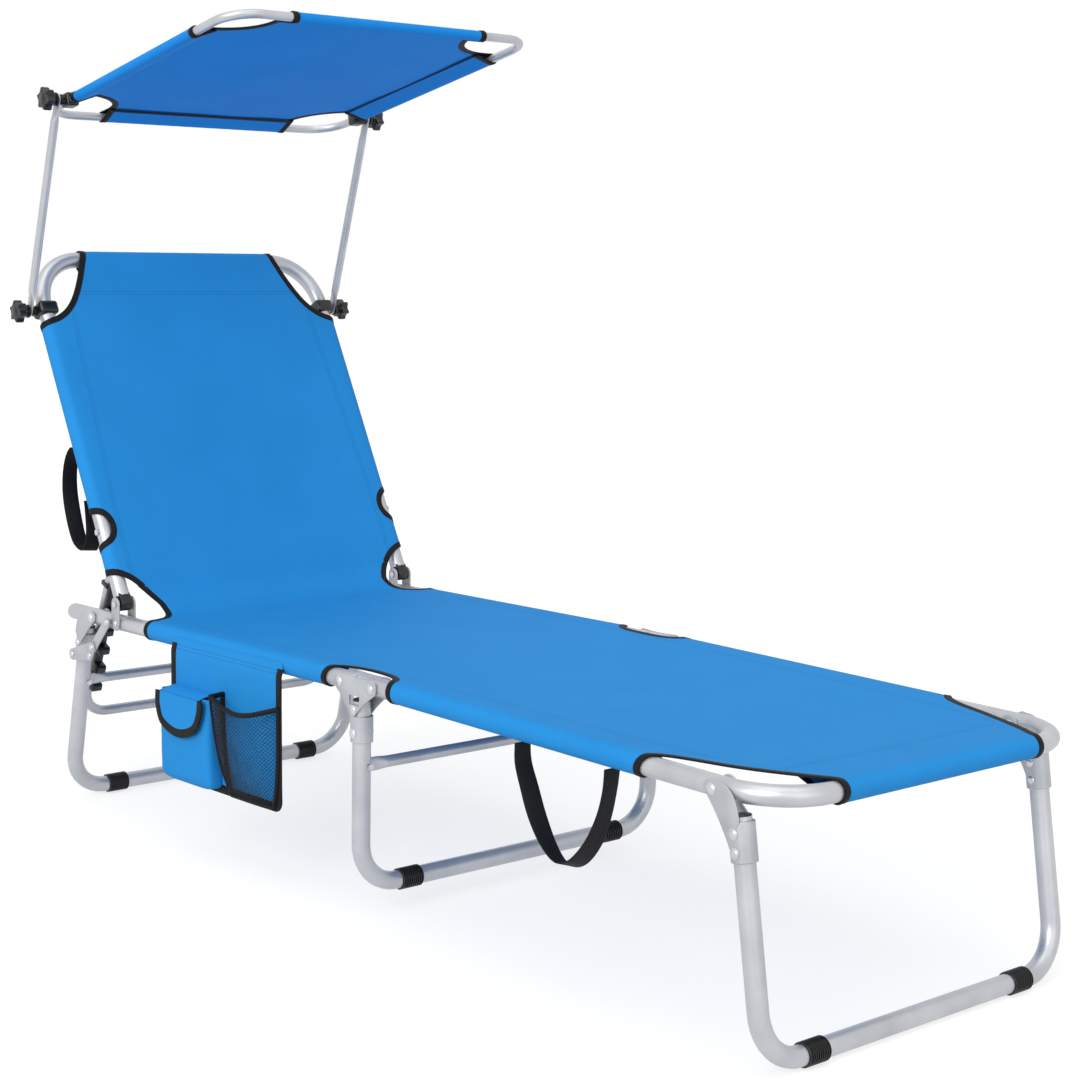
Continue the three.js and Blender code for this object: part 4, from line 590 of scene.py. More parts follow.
def turned(name: str, profile: Sequence[Point], centre: Vector, axis: Vector,
           steps: int = 32) -> bpy.types.Object:
    """A turned part: a closed profile spun round an axis by a screw modifier.

    Args:
        name: The new object's name.
        profile: Radius and height of each point of the closed profile.
        centre: Where the profile's zero height lies.
        axis: The direction of the profile's height.
        steps: How many flats the part has.

    Returns:
        The new object.
    """
    piece = outline_loop(name, [Vector((radius, 0, height)) for radius, height in profile], False)
    apply_modifier(piece, "SCREW", axis="Z", angle=2 * math.pi, steps=steps, render_steps=steps,
                   use_merge_vertices=True, merge_threshold=0.001)
    clean_mesh(piece)
    piece.data.transform(Matrix.Translation(centre) @ axis.to_track_quat("Z", "Y").to_matrix().to_4x4())
    return piece


def rivet_head(x: float, z: float, face: float, way: float) -> bpy.types.Object:
    """A domed rivet head on a face across the lounger.

    Args:
        x: The rivet's place along.
        z: The rivet's height.
        face: The Y of the face that it stands on.
        way: Plus or minus one, the way that the head stands out on Y.

    Returns:
        The new object.
    """
    radius, rise = RIVET_RADIUS, RIVET_RISE
    profile = [(0.0, -0.5), (radius, -0.5), (radius, 0.3 * rise), (0.86 * radius, 0.68 * rise),
               (0.6 * radius, 0.9 * rise), (0.3 * radius, rise), (0.0, rise)]
    return turned("head", profile, Vector((x, face, z)), Vector((0, way, 0)), 20)


def round_path(corners: Sequence[Vector], bend: float, steps: int = 10) -> List[Vector]:
    """A path of straight runs joined by round bends.

    Args:
        corners: The path's corners.
        bend: The bend radius.
        steps: How many chords each bend has.

    Returns:
        The path's points.
    """
    path = [corners[0].copy()]
    for before, corner, after in zip(corners, corners[1:], corners[2:]):
        inward = (corner - before).normalized()
        outward = (after - corner).normalized()
        turn = inward.angle(outward)
        start = corner - inward * bend * math.tan(turn / 2)
        axis = inward.cross(outward).normalized()
        centre = start + axis.cross(inward) * bend
        for step in range(steps + 1):
            path.append(centre + Matrix.Rotation(turn * step / steps, 3, axis) @ (start - centre))
    path.append(corners[-1].copy())
    return path


def bent_tube(name: str, path: Sequence[Vector], radius: float) -> bpy.types.Object:
    """A round tube along a path, from a curve with a bevel that is made a mesh.

    Args:
        name: The new object's name.
        path: The tube's centre line.
        radius: The tube's outer radius.

    Returns:
        The new object.
    """
    deselect()
    bpy.ops.curve.primitive_bezier_curve_add(location=(0, 0, 0))
    piece = bpy.context.object
    piece.name = name
    curve = piece.data
    curve.splines.clear()
    spline = curve.splines.new("POLY")
    spline.points.add(len(path) - 1)
    for point, at in zip(spline.points, path):
        point.co = (at.x, at.y, at.z, 1.0)
    curve.dimensions = "3D"
    curve.bevel_depth = radius
    curve.bevel_resolution = 5
    curve.use_fill_caps = True
    make_active(piece)
    bpy.ops.object.convert(target="MESH")
    piece = bpy.context.object
    clean_mesh(piece)
    return piece


def join_pieces(name: str, pieces: Sequence[bpy.types.Object]) -> bpy.types.Object:
    """Joins objects into one and names it.

    Args:
        name: The joined object's name.
        pieces: The objects, of which the first keeps its place.

    Returns:
        The joined object.
    """
    deselect()
    for piece in pieces:
        piece.select_set(True)
    bpy.context.view_layer.objects.active = pieces[0]
    if len(pieces) > 1:
        bpy.ops.object.join()
    pieces[0].name = name
    return pieces[0]


def cut_out(piece: bpy.types.Object, tool: bpy.types.Object) -> None:
    """Cuts a tool's shape out of a piece and removes the tool."""
    apply_modifier(piece, "BOOLEAN", operation="DIFFERENCE", object=tool, solver="EXACT")
    bpy.data.objects.remove(tool)


def settle(piece: bpy.types.Object, place: Place, body: str, finish: bpy.types.Material,
           replaces: Sequence[str] = (), smooth: float = 38.0) -> bpy.types.Object:
    """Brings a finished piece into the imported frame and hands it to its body.

    Args:
        piece: The object, with its mesh in local millimetres.
        place: The joint frame that it was modelled in.
        body: The body that carries it.
        finish: Its material.
        replaces: The CAD nodes that it stands for.
        smooth: Edges flatter than this many degrees are shaded smooth.

    Returns:
        The piece.
    """
    piece.data.transform(place.matrix)
    return dress(piece, body, finish, replaces, smooth)


def dress(piece: bpy.types.Object, body: str, finish: bpy.types.Material,
          replaces: Sequence[str] = (), smooth: float = 38.0) -> bpy.types.Object:
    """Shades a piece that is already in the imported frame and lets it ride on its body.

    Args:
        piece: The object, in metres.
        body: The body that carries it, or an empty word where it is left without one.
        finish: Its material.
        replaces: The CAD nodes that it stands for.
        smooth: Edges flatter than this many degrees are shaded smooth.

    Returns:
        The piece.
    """
    piece.data.materials.clear()
    piece.data.materials.append(finish)
    make_active(piece)
    bpy.ops.object.shade_smooth_by_angle(angle=math.radians(smooth))
    if body:
        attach(piece, body)
    if replaces:
        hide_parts(*replaces)
    LOG.info("%s on %s", piece.name, body or "two bodies")
    return piece


def u_path(start: Vector, end: Vector, half: float, bend: float, steps: int = 12) -> List[Vector]:
    """The path of a U whose crossbar lies along Y.

    Args:
        start: The middle between its two open ends.
        end: The middle of its crossbar.
        half: Half the distance between its sides.
        bend: The bend radius.
        steps: How many chords each bend has.

    Returns:
        The path's points.
    """
    across = Vector((0, half, 0))
    return round_path([start - across, end - across, end + across, start + across], bend, steps)


def oblong(left: float, right: float, low: float, high: float) -> List[Point]:
    """The corners of an upright oblong in the X-Z plane."""
    return [(left, low), (right, low), (right, high), (left, high)]


def arc(x: float, z: float, radius: float, start: float, end: float, steps: int = 14) -> List[Point]:
    """Points of an arc in the X-Z plane, from one angle to another in degrees."""
    angles = [math.radians(start + (end - start) * i / steps) for i in range(steps + 1)]
    return [(x + radius * math.cos(a), z + radius * math.sin(a)) for a in angles]


def bow(start: Point, middle: Point, end: Point, steps: int = 10) -> List[Point]:
    """Points of a quadratic curve, without its two ends."""
    shares = [i / steps for i in range(1, steps)]
    return [tuple((1 - t) ** 2 * a + 2 * t * (1 - t) * b + t * t * c for a, b, c in zip(start, middle, end))
            for t in shares]


def hull(discs: Sequence[Tuple[float, float, float]], sides: int = 32) -> List[Point]:
    """The convex outline that wraps discs given as x, z and radius."""
    points = sorted({(round(x + r * math.cos(2 * math.pi * i / sides), 5),
                      round(z + r * math.sin(2 * math.pi * i / sides), 5))
                     for x, z, r in discs for i in range(sides)})

    def chain(run: Sequence[Point]) -> List[Point]:
        """One half of the hull."""
        kept: List[Point] = []
        for p in run:
            while len(kept) > 1 and ((kept[-1][0] - kept[-2][0]) * (p[1] - kept[-2][1])
                                     - (kept[-1][1] - kept[-2][1]) * (p[0] - kept[-2][0])) <= 0:
                kept.pop()
            kept.append(p)
        return kept[:-1]

    return chain(points) + chain(points[::-1])


def spline(points: Sequence[Tuple[float, ...]], spacing: float) -> List[Tuple[float, ...]]:
    """A smooth curve through points.

    Args:
        points: The points, of two or three numbers each.
        spacing: About how far apart the new points lie.

    Returns:
        The new points, with the given ones among them.
    """
    ends = [tuple(2 * a - b for a, b in zip(points[0], points[1])),
            tuple(2 * a - b for a, b in zip(points[-1], points[-2]))]
    run = [ends[0], *points, ends[1]]
    out: List[Tuple[float, ...]] = [tuple(points[0])]
    for p0, p1, p2, p3 in zip(run, run[1:], run[2:], run[3:]):
        count = max(2, round(math.dist(p1, p2) / spacing))
        for i in range(1, count + 1):
            t = i / count
            out.append(tuple(0.5 * (2 * b + (c - a) * t + (2 * a - 5 * b + 4 * c - d) * t * t
                                    + (3 * b - a - 3 * c + d) * t ** 3)
                             for a, b, c, d in zip(p0, p1, p2, p3)))
    return out


# Cloth


@dataclass(frozen=True)
class TubeWrap:
    """How a sheet wraps a tube: over it, round it and back to a row of stitches."""

    radius: float
    reach: float
    clear: float = 3.4

    @property
    def turn(self) -> float:
        """The angle from the top of the tube to where the sheet leaves it."""
        lift = self.radius - self.clear
        slant = math.pi - math.atan2(lift, self.reach)
        return 2.5 * math.pi - slant - math.acos(self.radius / math.hypot(lift, self.reach))

    @property
    def length(self) -> float:
        """How much cloth the wrap takes, from the top of the tube."""
        lift = self.radius - self.clear
        return self.radius * self.turn + math.sqrt(lift ** 2 + self.reach ** 2 - self.radius ** 2)

    def place(self, past: float, height: float) -> Point:
        """Where a point of the wrap lies.

        Args:
            past: How far it lies past the top of the tube, along the cloth.
            height: How far it stands off the cloth.

        Returns:
            Its place outward of the tube's axis and above it.
        """
        angle = min(past / self.radius, self.turn)
        rest = past - angle * self.radius
        out = (self.radius + height) * math.sin(angle) + rest * math.cos(angle)
        return out, (self.radius + height) * math.cos(angle) - rest * math.sin(angle)


@dataclass
class FlatPattern:
    """A sheet's flat outline with its seams and the runs of its edge that are bound."""

    outline: List[Point]
    bound: List[List[Point]]
    seams: List[List[Point]]
    grid: Tuple[Sequence[float], Sequence[float]]

    @property
    def area(self) -> float:
        """The flat area in square metres."""
        pairs = zip(self.outline, self.outline[1:] + self.outline[:1])
        return abs(sum(a[0] * b[1] - b[0] * a[1] for a, b in pairs)) / 2 * MM * MM

    @property
    def spread(self) -> Point:
        """The flat width and length in metres."""
        along = [p[0] for p in self.outline]
        across = [p[1] for p in self.outline]
        return (max(across) - min(across)) * MM, (max(along) - min(along)) * MM


def gap_to(points: np.ndarray, run: Sequence[Point]) -> np.ndarray:
    """Distance from each point to a run of segments.

    Args:
        points: An array of flat points.
        run: The run's points.

    Returns:
        One distance for each point.
    """
    best = np.full(len(points), 1e9)
    for a, b in zip(run, run[1:]):
        start, step = np.array(a), np.array(b) - np.array(a)
        share = np.clip(((points - start) @ step) / max(step @ step, 1e-12), 0, 1)
        best = np.minimum(best, np.linalg.norm(points - start - share[:, None] * step, axis=1))
    return best


def inside(points: np.ndarray, outline: Sequence[Point]) -> np.ndarray:
    """Whether each point lies inside a closed outline."""
    result = np.zeros(len(points), dtype=bool)
    for a, b in zip(outline, list(outline[1:]) + [outline[0]]):
        if a[1] == b[1]:
            continue
        crosses = (points[:, 1] > a[1]) != (points[:, 1] > b[1])
        at = a[0] + (points[:, 1] - a[1]) * (b[0] - a[0]) / (b[1] - a[1])
        result ^= crosses & (points[:, 0] < at)
    return result


def split_run(run: Sequence[Point], spacing: float) -> List[Point]:
    """Adds points to a run so that none lie further apart than the spacing."""
    out = [tuple(run[0])]
    for a, b in zip(run, run[1:]):
        count = max(1, math.ceil(math.dist(a, b) / spacing))
        out += [tuple(p + (q - p) * i / count for p, q in zip(a, b)) for i in range(1, count + 1)]
    return out


def sheet_mesh(name: str, pattern: FlatPattern, lay: Lay, thickness: float = 0.9) -> bpy.types.Object:
    """Cuts a sheet to its flat pattern and lays it in place.

    Args:
        name: The new object's name.
        pattern: The flat pattern, in millimetres.
        lay: Gives the place in metres of a flat point and its height off the cloth.
        thickness: The cloth's thickness.

    Returns:
        The new object, in metres.
    """
    spacing, edge_room, seam_room = 9.0, 3.0, 3.5
    outline = split_run(pattern.outline + pattern.outline[:1], spacing)[:-1]
    along, across = np.meshgrid(np.array(pattern.grid[0]), np.array(pattern.grid[1]), indexing="ij")
    stagger = np.where(np.arange(along.shape[1]) % 2, 0.37, -0.37)
    points = np.column_stack([(along + stagger).ravel(), across.ravel()])
    points = points[inside(points, outline)]
    points = points[gap_to(points, outline + outline[:1]) > edge_room]
    seams = [split_run(run, spacing) for run in pattern.seams]
    for run in seams:
        points = points[gap_to(points, run) > seam_room]
    coords = [Vector(p) for p in outline] + [Vector(p) for p in points]
    edges = []
    for run in seams:
        edges += [(len(coords) + i, len(coords) + i + 1) for i in range(len(run) - 1)]
        coords += [Vector(p) for p in run]
    flat, _, faces, *_ = delaunay_2d_cdt(coords, edges, [list(range(len(outline)))], 1, 1e-4)
    flat_points = np.array([tuple(p) for p in flat])
    seam_gap = np.full(len(flat), 1.0)
    for run in seams:
        seam_gap = np.minimum(seam_gap, gap_to(flat_points, run) * MM)
    piece = mesh_piece(name, [lay(p[0], p[1], 0.0) for p in flat_points], [tuple(f) for f in faces],
                       flat_points * MM)
    mark_seams(piece, seam_gap.astype(np.float32))
    face_up(piece, lay, flat_points)
    apply_modifier(piece, "SOLIDIFY", thickness=thickness * MM, offset=0.0)
    return piece


def face_up(piece: bpy.types.Object, lay: Lay, flat: np.ndarray) -> None:
    """Turns a sheet's faces to the side that its own heights point to."""
    face = piece.data.polygons[0]
    u, v = flat[face.vertices[0]]
    if face.normal.dot(lay(u, v, 1.0) - lay(u, v, 0.0)) < 0:
        piece.data.flip_normals()


def binding_mesh(name: str, runs: Sequence[Sequence[Point]], pattern: FlatPattern, lay: Lay,
                 width: float = 9.0) -> bpy.types.Object:
    """The tape that is folded over the bound runs of a sheet's edge.

    Args:
        name: The new object's name.
        runs: The bound runs of the edge, in flat millimetres.
        pattern: The sheet's flat pattern, which tells the inner side of each run.
        lay: Gives the place of a flat point and its height off the cloth.
        width: How far the tape reaches in from the edge.

    Returns:
        The new object, in metres.
    """
    verts: List[Vector] = []
    faces: List[Tuple[int, ...]] = []
    coords: List[Point] = []
    spacing = 4.0
    section = [(width, 0.55), (width - 0.6, 1.0), (0.6, 1.35), (-0.9, 0.7), (-0.9, -0.7), (0.6, -1.35),
               (width - 0.6, -1.0), (width, -0.55)]
    count = len(section)
    for run in runs:
        path = np.array(split_run(run, spacing))
        step = np.gradient(path, axis=0)
        step /= np.linalg.norm(step, axis=1)[:, None]
        inward = np.column_stack([-step[:, 1], step[:, 0]])
        middle = len(path) // 2
        if not inside(np.array([path[middle] + 2.0 * inward[middle]]), pattern.outline)[0]:
            inward = -inward
        first = len(verts)
        for i, (at, side) in enumerate(zip(path, inward)):
            for reach, height in section:
                spot = at + side * reach
                verts.append(lay(spot[0], spot[1], height))
                coords.append((i * spacing * MM, reach * MM))
        for i in range(len(path) - 1):
            for k in range(count):
                a, b = first + i * count + k, first + i * count + (k + 1) % count
                faces.append((a, b, b + count, a + count))
        faces.append(tuple(first + k for k in range(count)))
        faces.append(tuple(first + (len(path) - 1) * count + k for k in reversed(range(count))))
    piece = mesh_piece(name, verts, faces, coords)
    clean_mesh(piece, merge=False)
    return piece


# Frame


@dataclass
class FrameTubes:
    """The seat, foot, backrest and prop tubes, with the plugs and racks on them."""

    finishes: Finishes
    foot_start: float = 2.0
    foot_length: float = 752.0
    seat_length: float = 771.0
    back_start: float = 11.0
    back_length: float = 588.0
    eye_radius: float = 11.0
    eye_reach: float = 9.0
    eye_half: float = 9.6
    lip_start: float = 8.4
    prop_y: float = 239.0
    prop_start: float = 12.0
    prop_length: float = 338.0
    prop_bend: float = 45.0
    prop_radius: float = 8.0
    hub_half: float = 3.0
    rack_top: float = 87.0
    rack_end: float = 280.0
    rack_half: float = 7.5
    bands: Sequence[float] = (96.0, 270.0)
    band_half: float = 9.4
    teeth: int = 5
    tooth_pitch: float = 34.0
    lowest_tooth: float = 272.5

    def build(self) -> None:
        """Builds every tube of the body."""
        for side in Side:
            self.build_seat_rail(side)
            self.build_back_plug(side)
        self.build_u("foot_tube", FOOT, "foot", "foot_frame", self.foot_start, self.foot_length)
        self.build_u("backrest_tube", BACK, "backrest", "back_frame", -self.back_start, -self.back_length)
        self.build_prop()
        for side in Side:
            self.build_rack(side)

    def build_u(self, name: str, place: Place, body: str, node: str, start: float, end: float) -> None:
        """A U of 25 mm tube that lies along X with its open ends at the start."""
        path = u_path(Vector((start, 0, 0)), Vector((end, 0, 0)), RAIL_Y, FRAME_BEND, 14)
        settle(bent_tube(name, path, TUBE_RADIUS), place, body, self.finishes.tube, [node])

    def build_seat_rail(self, side: Side) -> None:
        """A seat rail, closed by a pressed dome at the head end."""
        dome = self.seat_length - TUBE_RADIUS
        profile = [(0.0, 2.0), (TUBE_RADIUS - 1.2, 2.0), (TUBE_RADIUS, 2.8), (TUBE_RADIUS, dome)]
        profile += arc(0.0, dome, TUBE_RADIUS, 12.0, 84.0, 6)
        profile.append((0.0, self.seat_length))
        rail = turned(f"seat_rail_{side.word}_tube", profile, side.spot(0, RAIL_Y, 0), Vector((-1, 0, 0)))
        settle(rail, SEAT, "seat", self.finishes.tube, [f"seat_rail_{side.word}"])

    def build_back_plug(self, side: Side) -> None:
        """The black plug in a lower end of the backrest tube, with a lip and a flattened eye."""
        y = side.value * RAIL_Y
        outline = hull([(0, 0, self.eye_radius), (-self.eye_reach, 0, self.eye_radius)])
        eye = side_plate("plug_eye", outline, y - self.eye_half, y + self.eye_half, 1.6)
        lip = turned("plug_lip", [(0, 0), (11.6, 0), (12.4, 0.8), (12.4, 3.0), (0, 3.0)],
                     Vector((-self.lip_start, y, 0)), Vector((-1, 0, 0)))
        plug = join_pieces(f"back_plug_{side.word}_moulding", [eye, lip])
        settle(plug, BACK, "backrest", self.finishes.nylon, [f"back_plug_{side.word}"])

    def build_prop(self) -> None:
        """The U of 16 mm tube behind the backrest, with its hubs."""
        path = u_path(Vector((0, 0, -self.prop_start)), Vector((0, 0, -self.prop_length)), self.prop_y,
                      self.prop_bend)
        tube = bent_tube("prop_bend", path, self.prop_radius)
        outline = hull([(0, 0, 10), (0, -20, self.prop_radius)])
        middles = [side.value * self.prop_y for side in Side]
        hubs = [side_plate("prop_hub", outline, y - self.hub_half, y + self.hub_half, 1.0) for y in middles]
        prop = join_pieces("prop_tube", [tube, *hubs])
        settle(prop, PROP, "prop", self.finishes.tube, ["prop_frame"])

    def build_rack(self, side: Side) -> None:
        """A notched black rack, held to the prop by two bands."""
        y = side.value * self.prop_y
        name = f"prop_rack_{side.word}_moulding"
        rack = side_plate(name, self.rack_outline(), y - self.rack_half, y + self.rack_half, 1.4)
        bands = [side_plate("rack_band", oblong(-9.6, 9.2, -drop - 4, -drop + 4), y - self.band_half,
                            y + self.band_half, 1.2) for drop in self.bands]
        rack = join_pieces(name, [rack, *bands])
        settle(rack, PROP, "prop", self.finishes.nylon, [f"prop_rack_{side.word}"])

    def rack_outline(self) -> List[Point]:
        """The rack's spine with rounded teeth between its notches."""
        back, spine, tip, half = 8.3, 14.8, 29.3, 7.75
        points: List[Point] = [(back, -self.rack_end), (spine, -self.rack_end)]
        for i in range(self.teeth):
            centre = self.lowest_tooth - i * self.tooth_pitch
            points += [(spine, -min(centre + half, 279.7)), (tip - 3.0, -min(centre + 7.2, 279.4)),
                       (tip, -min(centre + 4.6, 277.0)), (tip, -centre + 4.2), (tip - 2.6, -centre + 7.0),
                       (spine, -centre + half)]
        points += [(spine, -self.rack_top), (back, -self.rack_top)]
        return [p for p, q in zip(points, points[1:] + points[:1]) if math.dist(p, q) > 0.05]


@dataclass
class Leg:
    """One U-shaped leg with its foot sleeves and, where it has one, its brace."""

    finishes: Finishes
    name: str
    body: str
    place: Place
    ahead: float
    top_drop: float
    lift: float = 0.0
    brace_drop: float = 0.0
    bend: float = 60.0
    brace_radius: float = 8.0
    brace_gap: float = 0.6
    pad_y: float = 187.0
    pad_length: float = 36.0
    pad_radius: float = 14.8
    pad_bore: float = 12.7
    pad_root: float = 12.9
    ribs: int = 10

    @property
    def drop(self) -> float:
        """How far the crossbar lies below the pivot, along the leg."""
        slope = math.radians(self.place.turn)
        fall = self.place.z - self.pad_radius - self.lift - self.ahead * math.sin(slope)
        return fall / math.cos(slope)

    def build(self) -> None:
        """Builds the leg, its foot sleeves and its brace."""
        path = u_path(Vector((self.ahead, 0, -self.top_drop)), Vector((self.ahead, 0, -self.drop)), RAIL_Y,
                      self.bend)
        tube = bent_tube(f"{self.name}_leg_tube", path, TUBE_RADIUS)
        settle(tube, self.place, self.body, self.finishes.tube, [f"{self.name}_leg_frame"])
        for side in Side:
            self.build_pad(side)
        if self.brace_drop:
            self.build_brace()

    def build_pad(self, side: Side) -> None:
        """A soft sleeve on the crossbar with a row of rounded ribs."""
        half, pitch = self.pad_length / 2, self.pad_length / self.ribs
        rib = [(self.pad_root, 0.2), (self.pad_radius - 0.3, 0.3), (self.pad_radius, 0.42),
               (self.pad_radius, 0.58), (self.pad_radius - 0.3, 0.7), (self.pad_root, 0.8)]
        profile: List[Point] = [(self.pad_bore, -half), (self.pad_root, -half)]
        for i in range(self.ribs):
            start = -half + i * pitch
            profile += [(radius, start + share * pitch) for radius, share in rib]
        profile += [(self.pad_root, half), (self.pad_bore, half)]
        pad = turned(f"{self.name}_pad_{side.word}_sleeve", profile,
                     side.spot(self.ahead, self.pad_y, -self.drop), Vector((0, 1, 0)), 40)
        settle(pad, self.place, self.body, self.finishes.vinyl,
               [f"{self.name}_pad_{side.word}"])

    def build_brace(self) -> None:
        """A brace of thinner tube whose ends are pressed flat where they enter the leg."""
        reach = RAIL_Y - self.brace_gap
        path = [Vector((self.ahead, y, -self.brace_drop)) for y in self.stations(reach)]
        brace = bent_tube(f"{self.name}_brace_tube", path, self.brace_radius)
        for vertex in brace.data.vertices:
            share = ease((abs(vertex.co.y) - (reach - 42.0)) / 20.0)
            vertex.co.x = self.ahead + (vertex.co.x - self.ahead) * (1 - 0.76 * share)
            vertex.co.z = -self.brace_drop + (vertex.co.z + self.brace_drop) * (1 + 0.22 * share)
        settle(brace, self.place, self.body, self.finishes.tube, [f"{self.name}_brace"])

    @staticmethod
    def stations(reach: float) -> List[float]:
        """Places across a brace, close together where its ends are pressed."""
        end = [reach - 45 + 3 * i for i in range(16)]
        return [-y for y in reversed(end)] + end


@dataclass
class Bracket:
    """A pressed bracket that joins a leg to a rail: two plates, a sleeve and rivets."""

    leg: Leg
    sleeve_top: float
    sleeve_end: float
    rivets: Sequence[Point]
    half_seam: float = 2.5
    lip_reach: float = 10.0

    def outlines(self) -> Tuple[List[Point], List[Point]]:
        """The outlines of the outer and the inner plate."""
        ahead, way = self.leg.ahead, math.copysign(1.0, self.leg.ahead)
        far, near = ahead + way * SLEEVE_RADIUS, ahead - way * SLEEVE_RADIUS
        start, end = (180.0, 60.0) if way > 0 else (0.0, 120.0)
        lobe = arc(0, 0, LOBE_RADIUS, start, end)
        rim = ahead + way * self.half_seam
        lip = (ahead + way * self.lip_reach, -self.sleeve_top)
        outer = lobe + bow(lobe[-1], (far - way * LOBE_RADIUS / 2, LOBE_RADIUS / 2), lip)
        outer += [lip, (rim, -self.sleeve_top - self.lip_reach)]
        tail = [(rim, -self.sleeve_end + 1), (ahead - way * self.half_seam, -self.sleeve_end + 1)]
        sweep = bow(tail[-1], (near, -self.sleeve_top), (-way * LOBE_RADIUS, 0.0))
        inner = arc(0, 0, LOBE_RADIUS, start, 180.0 - start)
        inner += [(way * LOBE_RADIUS, -TUBE_RADIUS - PLATE), (rim, -self.sleeve_top)]
        return outer + tail + sweep, inner + tail + sweep

    def build(self) -> None:
        """Builds the bracket on both sides."""
        for side in Side:
            self.build_side(side)

    def build_side(self, side: Side) -> None:
        """Builds the bracket on one side."""
        leg, finishes = self.leg, self.leg.finishes
        name = f"{leg.name}_bracket_{side.word}"
        outer, inner = self.outlines()
        plates = [side_plate("outer_plate", outer, *side.span(OUTER_PLATE, OUTER_FACE)),
                  side_plate("inner_plate", inner, *side.span(INNER_FACE, INNER_PLATE))]
        shell = join_pieces(f"{name}_pressing", [*plates, self.build_sleeve(side), *self.extra_parts(side)])
        settle(shell, leg.place, leg.body, finishes.plate, [name])
        washer = [(0, -1.7), (6.6, -1.7), (6.6, 0.35), (6.2, 0.6), (0, 0.6)]
        heads = []
        for x, z in self.rivets:
            heads += [rivet_head(x, z, side.value * OUTER_FACE, side.value),
                      rivet_head(x, z, side.value * INNER_FACE, -side.value),
                      turned("washer", washer, side.spot(x, OUTER_FACE, z), side.out, 24)]
        rivets = join_pieces(f"{name}_rivets", heads)
        settle(rivets, leg.place, leg.body, finishes.zinc)
        self.build_plug(side)

    def build_sleeve(self, side: Side) -> bpy.types.Object:
        """The part of the pressing that wraps the leg."""
        bore, rim, top, end = 12.7, 14.6, -self.sleeve_top, -self.sleeve_end
        profile = [(bore, end), (rim, end), (SLEEVE_RADIUS, end + 0.8), (SLEEVE_RADIUS, top - 0.8),
                   (rim, top), (bore, top)]
        return turned("sleeve", profile, side.spot(self.leg.ahead, RAIL_Y, 0), Vector((0, 0, 1)), 40)

    def extra_parts(self, side: Side) -> List[bpy.types.Object]:
        """Further parts of the pressing on one side."""
        return []

    def build_plug(self, side: Side) -> None:
        """The black plug that closes the leg's top end."""
        leg, top = self.leg, -self.leg.top_drop
        profile = [(0, top - 2), (12.2, top - 2), (12.2, top + 1.0), (11.2, top + 2.2), (0, top + 2.6)]
        plug = turned(f"{leg.name}_leg_plug_{side.word}", profile, side.spot(leg.ahead, RAIL_Y, 0),
                      Vector((0, 0, 1)), 28)
        settle(plug, leg.place, leg.body, leg.finishes.nylon)


@dataclass
class MiddleBracket(Bracket):
    """The middle bracket, which also holds the foot rail and has a window with a stop tab."""

    spacing: float = 68.0
    window: Tuple[float, float] = (22.0, 13.0)
    stop_top: float = -13.2

    def outlines(self) -> Tuple[List[Point], List[Point]]:
        """One outline for both plates: a lobe at each rivet over a narrower sleeve."""
        ahead = self.leg.ahead
        low, high = ahead - SLEEVE_RADIUS, ahead + SLEEVE_RADIUS
        first = arc(0, 0, LOBE_RADIUS, 225, 90)
        second = arc(self.spacing, 0, LOBE_RADIUS, 90, -45)
        top = bow(first[-1], (self.spacing / 2, LOBE_RADIUS - PLATE), second[0])
        rim, root = ahead + self.half_seam, ahead - self.half_seam
        right = bow(second[-1], (high + 2, -26), (rim, -self.sleeve_top))
        left = bow((root - 5, -self.sleeve_top), (low - 1, -26), first[0])
        tail = [(rim, -self.sleeve_top), (rim, -self.sleeve_end + 1), (root, -self.sleeve_end + 1),
                (root - 5, -self.sleeve_top)]
        outline = first + top + second + right + tail + left
        return outline, outline

    def build_side(self, side: Side) -> None:
        """Builds the bracket with its window cut."""
        super().build_side(side)
        shell = bpy.data.objects[f"{self.leg.name}_bracket_{side.word}_pressing"]
        wide, tall = self.window
        x, z = self.spacing / 2, self.stop_top - PLATE / 2 - tall / 2
        outline = oblong(x - wide / 2, x + wide / 2, z - tall / 2, z + tall / 2)
        tool = side_plate("window", outline, *side.span(OUTER_PLATE - 1.5, OUTER_FACE + 1.5), 0.0)
        tool.data.transform(self.leg.place.matrix)
        cut_out(shell, tool)

    def extra_parts(self, side: Side) -> List[bpy.types.Object]:
        """The tab that is bent inward out of the window."""
        half = self.window[0] / 2 - PLATE / 2
        x, top = self.spacing / 2, self.stop_top
        outline = oblong(x - half, x + half, top - PLATE, top)
        return [side_plate("tab", outline, *side.span(OUTER_PLATE - 9, OUTER_PLATE - 0.1), 0.5)]


